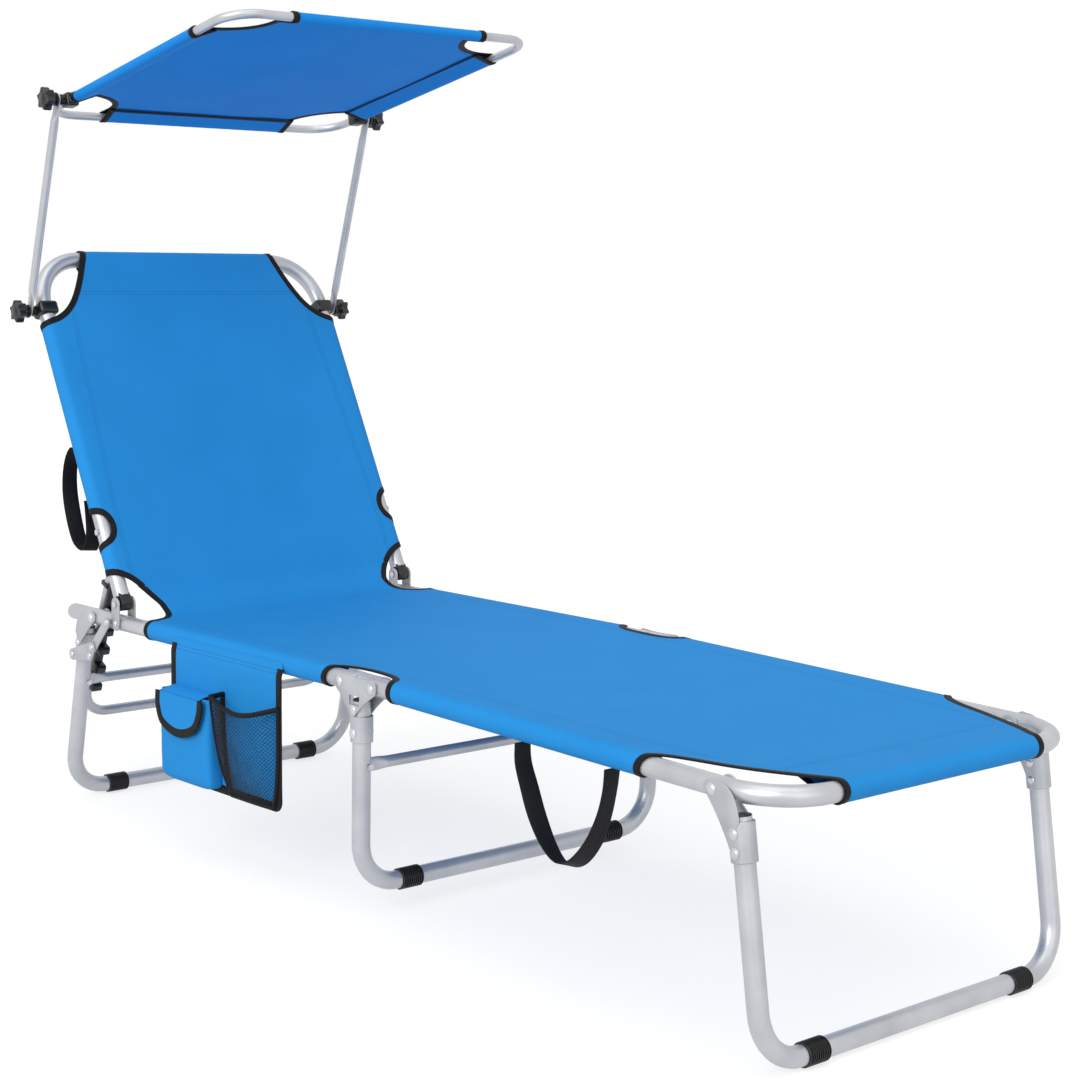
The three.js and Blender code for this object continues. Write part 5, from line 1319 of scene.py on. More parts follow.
@dataclass
class RearMechanism:
    """The hinge plates, link bars and toggle plates beside the rear legs."""

    finishes: Finishes
    hinge_rise: float = 30.3
    hinge_radius: float = 11.0
    pin_room: float = 4.6
    bar_radius: float = 8.0
    knee: Point = (23.0, -40.6)
    leg_pin: Point = (-32.3, -71.7)
    stud: Point = (19.8, -56.0)
    lobes: Sequence[float] = (9.0, 9.0, 7.5)

    def build(self) -> None:
        """Builds the mechanism on both sides."""
        for side in Side:
            self.build_hinge(side)
            self.build_link(side)
            self.build_toggle(side)

    def finish(self, name: str, plates: Sequence[bpy.types.Object], heads: Sequence[bpy.types.Object],
               place: Place, body: str, node: str) -> None:
        """Joins a mechanism part's plates and its rivet heads and settles both.

        Args:
            name: The names of the plates' piece and of the heads' piece.
            plates: The plates, joined into one piece.
            heads: The rivet heads, joined into another.
            place: The joint frame of both.
            body: The body that carries them.
            node: The CAD node that the plates stand for.
        """
        plate_name, head_name = name.split()
        pressing = join_pieces(plate_name, plates)
        settle(pressing, place, body, self.finishes.plate, [node])
        settle(join_pieces(head_name, heads), place, body, self.finishes.zinc)

    def build_boss(self, spot: Vector, side: Side, height: float) -> bpy.types.Object:
        """A short spacer that stands out from the rail under a bar or plate."""
        return turned("boss", [(0, 0), (5, 0), (5, height), (0, height)], spot, side.out, 24)

    def build_hinge(self, side: Side) -> None:
        """The two plates that carry the backrest pin over the seat rail."""
        base = Place(BACK.x, BACK.z - self.hinge_rise, 0.0)
        outline = hull([(0, 0, self.hinge_radius), (0, self.hinge_rise, self.hinge_radius)])
        plates = [side_plate("outer", outline, *side.span(OUTER_PLATE, OUTER_FACE)),
                  side_plate("inner", outline, *side.span(INNER_FACE, INNER_FACE + PLATE))]
        room = [(0, -40), (self.pin_room, -40), (self.pin_room, 40), (0, 40)]
        for plate in plates:
            tool = turned("pin_room", room, side.spot(0, RAIL_Y, self.hinge_rise), Vector((0, 1, 0)), 24)
            cut_out(plate, tool)
        heads = [rivet_head(0, 0, side.value * OUTER_FACE, side.value),
                 rivet_head(0, 0, side.value * INNER_FACE, -side.value)]
        node = f"back_hinge_{side.word}"
        self.finish(f"{node}_plates {node}_rivet", plates, heads, base, "seat", node)

    def build_link(self, side: Side) -> None:
        """The link bar from the rail rivet down to the knee."""
        knee = REAR_LEG.at(self.knee[0], 0, self.knee[1]) / MM
        reach = (knee.x - LOCK_RAIL.x, knee.z - LOCK_RAIL.z)
        outline = hull([(0, 0, self.bar_radius), (*reach, self.bar_radius)])
        bar = side_plate("bar", outline, *side.span(LINK_LAYER, LINK_LAYER + PLATE))
        boss = self.build_boss(side.spot(0, OUTER_PLATE, 0), side, 5.3)
        heads = [rivet_head(0, 0, side.value * (LINK_LAYER + PLATE), side.value),
                 rivet_head(0, 0, side.value * INNER_PLATE, -side.value)]
        node = f"rear_link_{side.word}"
        self.finish(f"{node}_bar {node}_rivet", [bar, boss], heads, LOCK_RAIL, "rear_links", node)

    def build_toggle(self, side: Side) -> None:
        """The outermost plate, from the leg rivet to the knee and its stud."""
        spots = (self.leg_pin, self.knee, self.stud)
        outline = hull([(*spot, radius) for spot, radius in zip(spots, self.lobes)])
        plate = side_plate("plate", outline, *side.span(TOGGLE_LAYER, TOGGLE_LAYER + PLATE))
        boss = self.build_boss(side.spot(self.leg_pin[0], OUTER_PLATE, self.leg_pin[1]), side, 8.2)
        far = side.value * (TOGGLE_LAYER + PLATE)
        heads = [rivet_head(x, z, far, side.value) for x, z in spots]
        heads.append(rivet_head(*self.leg_pin, side.value * INNER_PLATE, -side.value))
        node = f"rear_toggle_{side.word}"
        self.finish(f"{node}_plate {node}_rivets", [plate, boss], heads, REAR_LEG, "rear_toggles", node)


@dataclass
class PackedFasteners:
    """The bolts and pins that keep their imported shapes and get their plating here."""

    finishes: Finishes
    names: Sequence[str] = ("mid_brace_bolt", "rear_brace_bolt", "back_pivot", "prop_pivot")

    def build(self) -> None:
        """Gives each packed bolt and pin its material."""
        for name in self.names:
            for side in Side:
                node = frame["nodes"][f"{name}_{side.word}"]
                node.data.materials.clear()
                node.data.materials.append(self.finishes.zinc)
                LOG.info("%s keeps its packed shape", node.name)


# Canopy


@dataclass
class Canopy:
    """The canopy's arms, clamps, star knobs, frame and cloth."""

    finishes: Finishes
    arm_y: float = 293.0
    arm_length: float = 340.0
    width: float = 272.0
    rear: float = -80.0
    front: float = 465.0
    tube_radius: float = 6.5
    corner: float = 50.0
    hem: TubeWrap = field(default_factory=lambda: TubeWrap(7.4, 34.0))
    cut_x: float = 96.0
    cut_y: float = 98.0
    sag: float = 9.0
    arm_face: float = 290.2
    arm_flat: float = 36.0
    clamp_length: float = 22.0
    clamp_place: float = -499.0
    star_faces: Tuple[float, float] = (305.5, 319.5)

    def build(self) -> None:
        """Builds the canopy."""
        for side in Side:
            self.build_arm(side)
            self.build_clamp(side, "arm_clamp", BACK, "backrest", self.clamp_place, RAIL_Y, TUBE_RADIUS, -4.0)
            self.build_clamp(side, "canopy_clamp", CANOPY, "canopy", 0.0, self.width, self.tube_radius, 0.0)
            self.build_knob(side, "lower_knob", "arm_knobs", 0.0)
            self.build_knob(side, "upper_knob", f"knob_u{side.word[0]}", self.arm_length)
        corners = [Vector((x, y, 0)) for x, y in (
            (self.rear, 1), (self.rear, self.width), (self.front, self.width),
            (self.front, -self.width), (self.rear, -self.width), (self.rear, -1))]
        tube = bent_tube("canopy_tube", round_path(corners, self.corner, 12), self.tube_radius)
        settle(tube, CANOPY, "canopy", self.finishes.tube, ["canopy_frame"])
        self.build_cloth()

    def build_arm(self, side: Side) -> None:
        """A 13 mm arm whose two ends are pressed flat round their holes."""
        y = side.value * self.arm_y
        heights = [-9.0, -4.0, 0.0, 9.0, 16.0, 20.0, 24.0, 28.0, 32.0, self.arm_flat]
        heights += [self.arm_length - z for z in reversed(heights)]
        path = [Vector((0, y, z)) for z in heights]
        arm = bent_tube(f"canopy_arm_{side.word}_tube", path, self.tube_radius)
        for vertex in arm.data.vertices:
            end = min(vertex.co.z, self.arm_length - vertex.co.z)
            share = ease((self.arm_flat - end) / 16.0)
            tip = math.sqrt(max(0.0, 1 - (min(end, 0.0) / 9.6) ** 2))
            vertex.co.x *= (1 + 0.38 * share) * tip
            vertex.co.y = y + (vertex.co.y - y) * (1 - 0.63 * share)
        settle(arm, ARMS, "canopy_arms", self.finishes.tube, [f"canopy_arm_{side.word}"])

    def build_clamp(self, side: Side, name: str, place: Place, body: str, x: float, y: float, radius: float,
                    boss_z: float) -> None:
        """A moulded clamp block round a tube, with a ribbed boss towards the arm."""
        outer, middle = radius + 3.8, side.value * y
        deselect()
        bpy.ops.mesh.primitive_cube_add(size=1.0, location=(0, 0, 0))
        block = bpy.context.object
        size = Matrix.Diagonal((self.clamp_length, 2 * outer, 2 * outer, 1))
        block.data.transform(Matrix.Translation((x, middle, 0)) @ size)
        apply_modifier(block, "BEVEL", width=0.34 * outer, segments=4, limit_method="ANGLE")
        tool = turned("bore", [(0, -30), (radius + 0.15, -30), (radius + 0.15, 30), (0, 30)],
                      Vector((x, middle, 0)), Vector((1, 0, 0)), 32)
        cut_out(block, tool)
        start, end = y + radius + 1.0, self.arm_face
        profile = [(0, start), (7.5, start)]
        z = start + 0.6
        while z + 2.4 < end:
            profile += [(7.5, z), (8.3, z + 0.5), (8.3, z + 1.5), (7.5, z + 2.0)]
            z += 2.4
        profile += [(7.5, end), (0, end)]
        boss = turned("boss", profile, Vector((x, 0, boss_z)), side.out, 28)
        clamp = join_pieces(f"{name}_{side.word}_moulding", [block, boss])
        settle(clamp, place, body, self.finishes.nylon, [f"{name}_{side.word}"])

    def build_knob(self, side: Side, name: str, body: str, z: float) -> None:
        """A star knob with six lobes on a stepped collar."""
        steps = 96
        outline = []
        for i in range(steps):
            angle = 2 * math.pi * i / steps
            radius = 13.6 + 4.4 * (0.5 + 0.5 * math.cos(6 * angle)) ** 1.6
            outline.append((radius * math.cos(angle), z + radius * math.sin(angle)))
        star = side_plate("star", outline, *side.span(*self.star_faces), 0.0)
        apply_modifier(star, "BEVEL", width=2.2, segments=4, limit_method="ANGLE",
                       angle_limit=math.radians(60))
        collar_profile = [(0, 295.8), (10.5, 295.8), (10.5, 298.2), (8.0, 299.4), (8.0, 304), (11.5, 306.4),
                          (0, 306.4)]
        cap_profile = [(0, 318.5), (9.0, 318.5), (9.0, 319.6), (8.2, 320.2), (0, 320.6)]
        collar = turned("collar", collar_profile, Vector((0, 0, z)), side.out)
        cap = turned("cap", cap_profile, Vector((0, 0, z)), side.out)
        knob = join_pieces(f"{name}_{side.word}_star", [star, collar, cap])
        settle(knob, ARMS, body, self.finishes.nylon, [f"{name}_{side.word}"])

    def lay(self, along: float, across: float, height: float) -> Vector:
        """Lays a point of the canopy's flat cloth on its tubes."""
        radius = self.hem.radius
        x, y, z = along, across, radius + height
        if abs(across) > self.width:
            out, z = self.hem.place(abs(across) - self.width, height)
            y = math.copysign(self.width + out, across)
        elif along > self.front or along < self.rear:
            edge = self.front if along > self.front else self.rear
            out, z = self.hem.place(abs(along - edge), height)
            x = edge + math.copysign(1.0, along - edge) * out
        else:
            across_share = 1 - (across / self.width) ** 2
            middle, half = (self.front + self.rear) / 2, (self.front - self.rear) / 2
            along_share = max(0.0, 1 - ((along - middle) / half) ** 2)
            z -= self.sag * across_share * along_share
            ripple = noise.noise(Vector((along / 90, across / 90, 1.7)))
            z += 1.3 * ripple * min(1.0, 3 * across_share * along_share)
        return CANOPY.at(x, y, z)

    def cut_corner(self, x: float, way_x: float, way_y: float) -> List[Point]:
        """The hollow cut-out at one corner, from the end flap to the side flap."""
        full = self.hem.length
        run = [(x + way_x * full, self.width - self.cut_y), (x + way_x * 20, self.width - self.cut_y),
               (x - way_x * 4, self.width - self.cut_y), (x - way_x * 30, self.width - 97),
               (x - way_x * 52, self.width - 91), (x - way_x * 70, self.width - 78),
               (x - way_x * 83, self.width - 60), (x - way_x * 92, self.width - 36),
               (x - way_x * self.cut_x, self.width - 8), (x - way_x * self.cut_x, self.width + 24),
               (x - way_x * self.cut_x, self.width + full)]
        return [(a, way_y * b) for a, b in spline(run, 5.0)]

    def build_cloth(self) -> None:
        """The taut panel with a sleeve along each edge and a bound cut-out at each corner."""
        cuts = [self.cut_corner(self.front, 1, 1), self.cut_corner(self.rear, -1, 1)[::-1],
                self.cut_corner(self.rear, -1, -1), self.cut_corner(self.front, 1, -1)[::-1]]
        outline = [(round(a, 4), round(b, 4)) for cut in cuts for a, b in cut]
        hem = self.width - self.hem.reach
        low, high = self.rear + self.hem.reach, self.front - self.hem.reach
        seams = [[(self.rear + 40, y), (self.front - 40, y)] for y in (hem, -hem)]
        seams += [[(x, -hem + 6), (x, hem - 6)] for x in (high, low)]
        fine = (4, 8, 12, 16, 20, 24, 28, 34, 44, 54, 62)
        grid = tuple(sorted([start - f for f in fine] + list(np.linspace(start, end, 46))
                            + [end + f for f in fine])
                     for start, end in ((self.rear, self.front), (-self.width, self.width)))
        pattern = FlatPattern(outline, cuts, seams, grid)
        cloth = sheet_mesh("canopy_panel", pattern, self.lay, 0.7)
        dress(cloth, "canopy", self.finishes.shade, ["canopy_cloth"], 80.0)
        full = self.hem.length - 1.0
        inset = self.width - self.cut_y
        rear_edge = [(self.rear - full, -inset), (self.rear - full, inset)]
        side_edge = [(x, self.width + full) for x in (self.rear + self.cut_x, self.front - self.cut_x)]
        parts = [binding_mesh("cut_tape", cuts, pattern, self.lay, 9.0),
                 binding_mesh("rear_tape", [rear_edge], pattern, self.lay, 6.0),
                 binding_mesh("side_tape", [side_edge], pattern, self.lay, 2.2)]
        tape = join_pieces("canopy_panel_binding", parts)
        dress(tape, "canopy", self.finishes.binding, (), 50.0)
        pattern.spread
        pattern.area


# Sling


@dataclass
class Sling:
    """The sling: one long sheet over the backrest, seat and foot, cut where it bends."""

    finishes: Finishes
    bend_radius: float = 80.0
    bend_start: float = -538.0
    foot_end: float = 752.0
    back_end: float = 588.0
    sag: float = 6.0
    middle_start: float = -130.0
    foot_start: float = 7.0
    wrap: TubeWrap = field(default_factory=lambda: TubeWrap(CLOTH_LIFT, 31.0))
    end_wrap: TubeWrap = field(default_factory=lambda: TubeWrap(CLOTH_LIFT, 66.0))

    @property
    def bend_turn(self) -> float:
        """The angle between the seat's and the backrest's cloth, in radians."""
        return math.radians(BACK.turn + SEAT.turn * -1 - 2 * abs(SEAT.turn))

    @property
    def back_start(self) -> float:
        """How far up the backrest the bend ends, from the hinge."""
        end = self.bend_spot(self.bend_turn * self.bend_radius)[0]
        pin = Vector((BACK.x, 0, BACK.z))
        up = Vector((-math.cos(math.radians(BACK.turn)), 0, math.sin(math.radians(BACK.turn))))
        return (end - pin).dot(up)

    def back_place(self, up: float) -> float:
        """The flat place of a point that lies so far up the backrest tube."""
        return self.bend_start - self.bend_turn * self.bend_radius - (up - self.back_start)

    def bend_spot(self, past: float) -> Tuple[Vector, Vector]:
        """A point of the bend between seat and backrest, and the way that its cloth faces."""
        start = SEAT.at(self.bend_start, 0, CLOTH_LIFT) / MM
        normal = (SEAT.at(0, 0, 1) - SEAT.at(0, 0, 0)).normalized()
        centre = start + normal * self.bend_radius
        turn = Matrix.Rotation(past / self.bend_radius, 3, "Y")
        facing = turn @ normal
        return centre - facing * self.bend_radius, facing

    def lay(self, along: float, across: float, height: float) -> Vector:
        """Lays a point of the sling's flat cloth on its frame."""
        v, lift = abs(across), CLOTH_LIFT + height
        y = across
        if v > RAIL_Y:
            out, lift = self.wrap.place(v - RAIL_Y, height)
            y = math.copysign(RAIL_Y + out, across)
        else:
            lift -= self.sag_at(along) * (1 - (v / RAIL_Y) ** 2)
            lift += 0.7 * noise.noise(Vector((along / 120, across / 45, 0.3))) * min(1.0, (RAIL_Y - v) / 60)
        if along > self.foot_end:
            out, lift = self.end_wrap.place(along - self.foot_end, height)
            return FOOT.at(self.foot_end + out, y, lift)
        if along > 0:
            return FOOT.at(along, y, lift)
        if along > self.bend_start:
            return SEAT.at(along, y, lift)
        bend = self.bend_turn * self.bend_radius
        past = self.bend_start - along
        if past < bend:
            spot, facing = self.bend_spot(past)
            spot = spot + facing * (lift - CLOTH_LIFT)
            return Vector((spot.x, y, spot.z)) * MM
        up = past - bend + self.back_start
        if up > self.back_end:
            out, lift = self.end_wrap.place(up - self.back_end, height)
            return BACK.at(-self.back_end - out, y, lift)
        return BACK.at(-up, y, lift)

    def sag_at(self, along: float) -> float:
        """How far the middle of the cloth hangs below the rails."""
        top = self.back_place(self.back_end)
        ends = min(1.0, max(0.0, (self.foot_end - along) / 160), max(0.0, (along - top) / 160))
        bend = min(1.0, abs(along + 580) / 130)
        return self.sag * ends * bend * bend

    def edge_runs(self) -> List[Tuple[bool, List[Point]]]:
        """The left edge of the whole sheet from the top to the foot end, run by run."""
        full = RAIL_Y + self.wrap.length
        back = self.back_place
        top = [(back(self.back_end) - self.end_wrap.length, 184.0)]
        top += [(back(up), v) for up, v in (
            (610, 184.5), (594, 185.5), (575, 192.0), (540, 207.0), (508, 226.0), (488, 247.0), (477, 272.0),
            (472.5, 305.0), (471, full))]
        notch = [(back(up), v) for up, v in (
            (153, full), (152, 305), (147, 280), (138, 266), (123, 261), (108, 266), (99, 280), (94, 305),
            (93, full))]
        hinge = [(back(up), v) for up, v in (
            (52, full), (51, 310), (45, 278), (34, 254), (18, 238), (0, 226))]
        hinge += [(-585, 219), (-562, 222), (-545, 233), (-534, 250), (-528, 276), (-526, 310), (-526, full)]
        middle = [(-64, full), (-63, 310), (-60, 284), (-51, 264), (-32, 253), (4, 248.5), (42, 251),
                  (62, 260), (72, 276), (76, 306), (77, full)]
        foot = [(543, full), (544, 312), (549, 284), (563, 263), (590, 249), (642, 232), (690, 213),
                (725, 197), (748, 184.5), (762, 180.5), (780, 180),
                (self.foot_end + self.end_wrap.length, 180)]
        runs: List[Tuple[bool, List[Point]]] = []
        for chain in (top, notch, hinge, middle, foot):
            if runs:
                runs.append((False, [runs[-1][1][-1], chain[0]]))
            runs.append((True, spline(chain, 5.0)))
        return runs

    def seams(self) -> List[List[Point]]:
        """Every row of stitches of the whole sheet."""
        back = self.back_place
        side = [(back(up), v) for up, v in (
            (504, 225), (400, 232), (300, 238), (180, 245), (110, 247), (35, 247))]
        rows = [side, [(-540, 236), (-70, 236), (84, 235), (300, 229), (560, 219), (676, 204), (704, 199)]]
        both = rows + [[(a, -b) for a, b in row] for row in rows]
        return both + [[(along, -211), (along, 211)] for along in (back(523), 686)]

    def clip(self, run: Sequence[Point], start: float, end: float) -> List[Point]:
        """The part of a run that lies between two places along the sheet."""
        out: List[Point] = []
        for a, b in zip(run, run[1:]):
            if max(a[0], b[0]) < start - 1e-6 or min(a[0], b[0]) > end + 1e-6:
                continue
            shares = [0.0, 1.0]
            if abs(b[0] - a[0]) > 1e-9:
                cuts = sorted(((start - a[0]) / (b[0] - a[0]), (end - a[0]) / (b[0] - a[0])))
                shares = [max(0.0, cuts[0]), min(1.0, cuts[1])]
            for share in shares:
                spot = (a[0] + (b[0] - a[0]) * share, a[1] + (b[1] - a[1]) * share)
                if not out or math.dist(out[-1], spot) > 0.02:
                    out.append(spot)
        return out

    def piece_pattern(self, start: float, end: float) -> FlatPattern:
        """The flat pattern of one length of the sheet."""
        edge: List[Point] = []
        bound: List[List[Point]] = []
        for is_bound, run in self.edge_runs():
            part = self.clip(run, start, end)
            if len(part) < 2:
                continue
            edge += part if not edge else [p for p in part if math.dist(p, edge[-1]) > 0.02]
            if is_bound:
                bound += [part, [(a, -b) for a, b in part]]
        outline = edge + [(a, -b) for a, b in reversed(edge)]
        seams = [part for part in (self.clip(run, start, end) for run in self.seams()) if len(part) > 1]
        seams = [run for run in seams if math.dist(run[0], run[-1]) > 12]
        across = list(np.linspace(-RAIL_Y, RAIL_Y, 35))
        wrapped = [4.3 * i for i in range(1, 21)]
        grid_y = sorted([-RAIL_Y - w for w in wrapped] + across + [RAIL_Y + w for w in wrapped])
        grid_x = list(np.arange(start, end, 13.0))
        if end > self.foot_end:
            grid_x = list(np.arange(start, self.foot_end, 13.0)) + [self.foot_end + w for w in wrapped]
        top = self.back_place(self.back_end)
        if start < top:
            grid_x = [top - w for w in wrapped] + list(np.arange(top, end, 13.0))
        return FlatPattern(outline, bound, seams, (sorted(grid_x), grid_y))

    def build(self) -> None:
        """Builds the four lengths of the sheet, which together are one."""
        top = self.back_place(self.back_end) - self.end_wrap.length
        middle = self.bend_start - self.bend_turn * self.bend_radius / 2
        last = self.foot_end + self.end_wrap.length
        lengths = [("sling_back", top, middle, "back_sling", "backrest_tube"),
                   ("sling_seat", middle, self.middle_start, "seat_sling", "seat_rail_left_tube"),
                   ("sling_middle", self.middle_start, self.foot_start, "seat_sling", "seat_rail_left_tube"),
                   ("sling_foot", self.foot_start, last, "foot_sling", "foot_tube")]
        for name, start, end, node, rail in lengths:
            pattern = self.piece_pattern(start, end)
            cloth = sheet_mesh(name, pattern, self.lay)
            dress(cloth, "", self.finishes.sling, [node], 80.0)
            tape = binding_mesh(f"{name}_binding", pattern.bound, pattern, self.lay)
            dress(tape, "", self.finishes.binding, (), 50.0)
            for piece in (cloth, tape):
                self.hold(piece, name)
            pattern.spread
            pattern.area

    def hold(self, piece: bpy.types.Object, name: str) -> None:
        """Bakes one length's transform into its mesh; the two bodies that it spans are looked up but not
        used.
        """
        bend = self.bend_turn * self.bend_radius
        first = self.bend_spot(0.0)[0] * MM
        halfway = self.bend_spot(bend / 2)[0] * MM
        last = self.bend_spot(bend)[0] * MM
        spans = {
            "sling_back": ("back_pivots", "backrest", halfway, last),
            "sling_seat": ("seat", "back_pivots", first, halfway),
            "sling_middle": ("seat", "mid_leg", SEAT.at(-48, 0, 14), SEAT.at(-10, 0, 14)),
            "sling_foot": ("mid_leg", "foot", FOOT.at(20, 0, 14), FOOT.at(62, 0, 14)),
        }
        low, high, start, end = spans[name]
        tuple(start)
        tuple(end)
        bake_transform(piece)


# Pockets and straps


@dataclass
class Organiser:
    """The pocket organiser that hangs from the right seat rail."""

    finishes: Finishes
    rear: float = -440.0
    front: float = -157.0
    split: float = -304.0
    drop: float = 206.0
    back_y: float = -286.2
    depth: float = 29.0
    corner: float = 16.0
    tape_width: float = 12.0
    phone_rise: float = 138.0
    mesh_rise: float = 146.0
    gusset_share: float = 0.17
    fold_radius: float = 1.9
    rim_radius: float = 3.6
    net_cells: Tuple[int, int] = (25, 24)
    net_yarn: float = 1.05

    def build(self) -> None:
        """Builds the panel, the phone pouch with its flap, and the net pocket."""
        pieces = [self.build_pouch(), *self.build_net(), self.build_bridge()]
        self.build_panel()
        self.build_flap()

    def lay_panel(self, along: float, up: float, height: float) -> Vector:
        """Lays a point of the back panel, which waves a little below its sewn top."""
        free = min(1.0, max(0.0, -up / 60))
        wave = 0.7 * math.sin(along / 46 + 0.8) * free * min(1.0, max(0.0, (up + self.drop) / 40))
        tuck = ease((up + 15) / 19)
        sleeve = -RAIL_Y - math.sqrt(max(0.0, (CLOTH_LIFT + 1.0) ** 2 - up * up))
        return SEAT.at(along, (self.back_y + wave) * (1 - tuck) + sleeve * tuck - height, up)

    def build_panel(self) -> None:
        """The flat panel behind both pockets, sewn to the rail's sleeve at its top."""
        low = -self.drop + self.corner
        bound = [[(self.front, -4.0)] + arc(self.front - self.corner, low, self.corner, 0.0, -90.0)
                 + arc(self.rear + self.corner, low, self.corner, -90.0, -180.0) + [(self.rear, -4.0)]]
        outline = bound[0] + [(self.rear + 4, 4.0), (self.front - 4, 4.0)]
        grid = (np.arange(self.rear, self.front, 9.0), np.arange(-self.drop, 6.0, 9.0))
        seams = [[(self.rear + 8, -9.0), (self.front - 8, -9.0)]]
        pattern = FlatPattern(outline, bound, seams, grid)
        panel = sheet_mesh("organiser_panel", pattern, self.lay_panel)
        dress(panel, "seat", self.finishes.sling, ["pocket_organiser"], 80.0)
        tape = binding_mesh("organiser_panel_binding", bound, pattern, self.lay_panel, self.tape_width)
        dress(tape, "seat", self.finishes.binding, (), 50.0)
        pattern.spread
        pattern.area

    def build_pouch(self) -> bpy.types.Object:
        """The phone pouch: a boxy bag with soft corners that swells a little in front."""
        half = (self.split - self.rear) / 2 - 1.5
        middle = (self.split + self.rear) / 2
        rows, columns = 18, 30
        low, high = -self.drop + 3.0, -self.drop + self.phone_rise
        verts, coords = [], []
        for r in range(rows + 1):
            share = r / rows
            up = low + (high - low) * share
            round_in = max(0.0, 1 - share / 0.09)
            depth = (self.depth - 2.5) * (1 - 0.35 * round_in ** 2) * (0.9 + 0.1 * math.sin(math.pi * share))
            wide = half - 3.0 * round_in ** 2 - 1.2 * math.sin(math.pi * share) ** 2
            for c in range(columns + 1):
                turn = math.pi * c / columns
                x = wide * math.copysign(abs(math.cos(turn)) ** 0.28, math.cos(turn))
                y = depth * abs(math.sin(turn)) ** 0.28
                crease = 0.8 * noise.noise(Vector((x / 30, up / 26, 2.0)))
                verts.append(SEAT.at(middle + x, self.back_y - 0.6 - y + crease * min(1, y / 12), up))
                coords.append(((c / columns) * 2.2 * half * MM, up * MM))
        faces = [(a, a + 1, a + columns + 2, a + columns + 1)
                 for r in range(rows) for a in range(r * (columns + 1), r * (columns + 1) + columns)]
        faces.append(tuple(range(columns + 1)))
        pouch = mesh_piece("phone_pouch", verts, faces, coords)
        mark_seams(pouch, [1.0] * len(verts))
        clean_mesh(pouch, merge=False)
        apply_modifier(pouch, "SOLIDIFY", thickness=1.2 * MM, offset=-1.0)
        apply_modifier(pouch, "SUBSURF", levels=1, render_levels=1)
        return dress(pouch, "seat", self.finishes.sling, ["pocket_organiser"], 80.0)

    def build_bridge(self) -> bpy.types.Object:
        """The strip that carries the flap forward from the panel over the pouch's mouth."""
        low, high = self.rear + 16, self.split - 16

        def lay(along: float, out: float, height: float) -> Vector:
            """Lays a point of the strip."""
            fall = -64.0 - 5.6 * (out / 30) ** 2
            return SEAT.at(along, self.back_y - 0.8 - out, fall + height)

        pattern = FlatPattern([(low, 0.0), (high, 0.0), (high, 30.0), (low, 30.0)], [], [],
                              (np.arange(low + 5, high, 8.0), np.arange(4.0, 30.0, 5.0)))
        bridge = sheet_mesh("pocket_flap_strip", pattern, lay, 1.0)
        return dress(bridge, "seat", self.finishes.sling, (), 80.0)

    def build_flap(self) -> None:
        """The half-round flap with its bound edge."""
        middle = (self.rear + self.split) / 2
        top, half, fall, face = -70.0, 62.0, 60.0, -317.6

        def lay(along: float, up: float, height: float) -> Vector:
            """Lays a point of the flap, whose lower edge bows outward."""
            out = 2.4 * math.sin(min(1.0, max(0.0, (top - up) / fall)) * math.pi / 2)
            return SEAT.at(along, face - out - height, up)

        run = spline([(middle - half, top), (middle - half + 2, top - 22), (middle - 44, top - 48),
                      (middle, top - fall), (middle + 44, top - 48), (middle + half - 2, top - 22),
                      (middle + half, top)], 4.0)
        grid = (np.arange(middle - half, middle + half, 8.0), np.arange(top - fall, top, 8.0))
        pattern = FlatPattern(run, [run], [], grid)
        flap = sheet_mesh("pocket_flap_cloth", pattern, lay, 1.4)
        dress(flap, "flap", self.finishes.sling, ["pocket_flap"], 80.0)
        tape = binding_mesh("pocket_flap_binding", [run], pattern, lay, self.tape_width)
        dress(tape, "flap", self.finishes.binding, (), 50.0)
        pattern.spread
        pattern.area

    def net_spot(self, across: float, rise: float) -> Vector:
        """A point of the net: a gusset that opens towards the top, then the front.

        Args:
            across: The share of the way from the rear edge to the front one.
            rise: The share of the way from the bottom to the rim.

        Returns:
            The point in metres.
        """
        low, high = -self.drop + 4.0, -self.drop + self.mesh_rise
        mouth = 3.0 + (self.depth - 5.0) * rise ** 0.7
        left = self.split + 3.0 + 20.0 * (1 - rise) ** 3
        right = self.front - 5.0 - 12.0 * (1 - rise) ** 4
        beyond = max(0.0, (across - self.gusset_share) / (1 - self.gusset_share))
        folded = min(1.0, across / self.gusset_share)
        x = left + 7.0 * folded + (right - left - 7.0) * beyond
        z = low + (high - 15.0 * math.sin(math.pi * beyond) - low) * rise
        belly = 4.0 * math.sin(math.pi * beyond) * math.sin(math.pi * min(1.0, rise))
        out = mouth * folded * (1 - beyond ** 5) + belly
        ripple = 1.2 * noise.noise(Vector((x / 20, z / 26, 4.0))) * min(1.0, out / 10)
        return SEAT.at(x, self.back_y - 1.4 - min(self.depth, out + ripple), z)

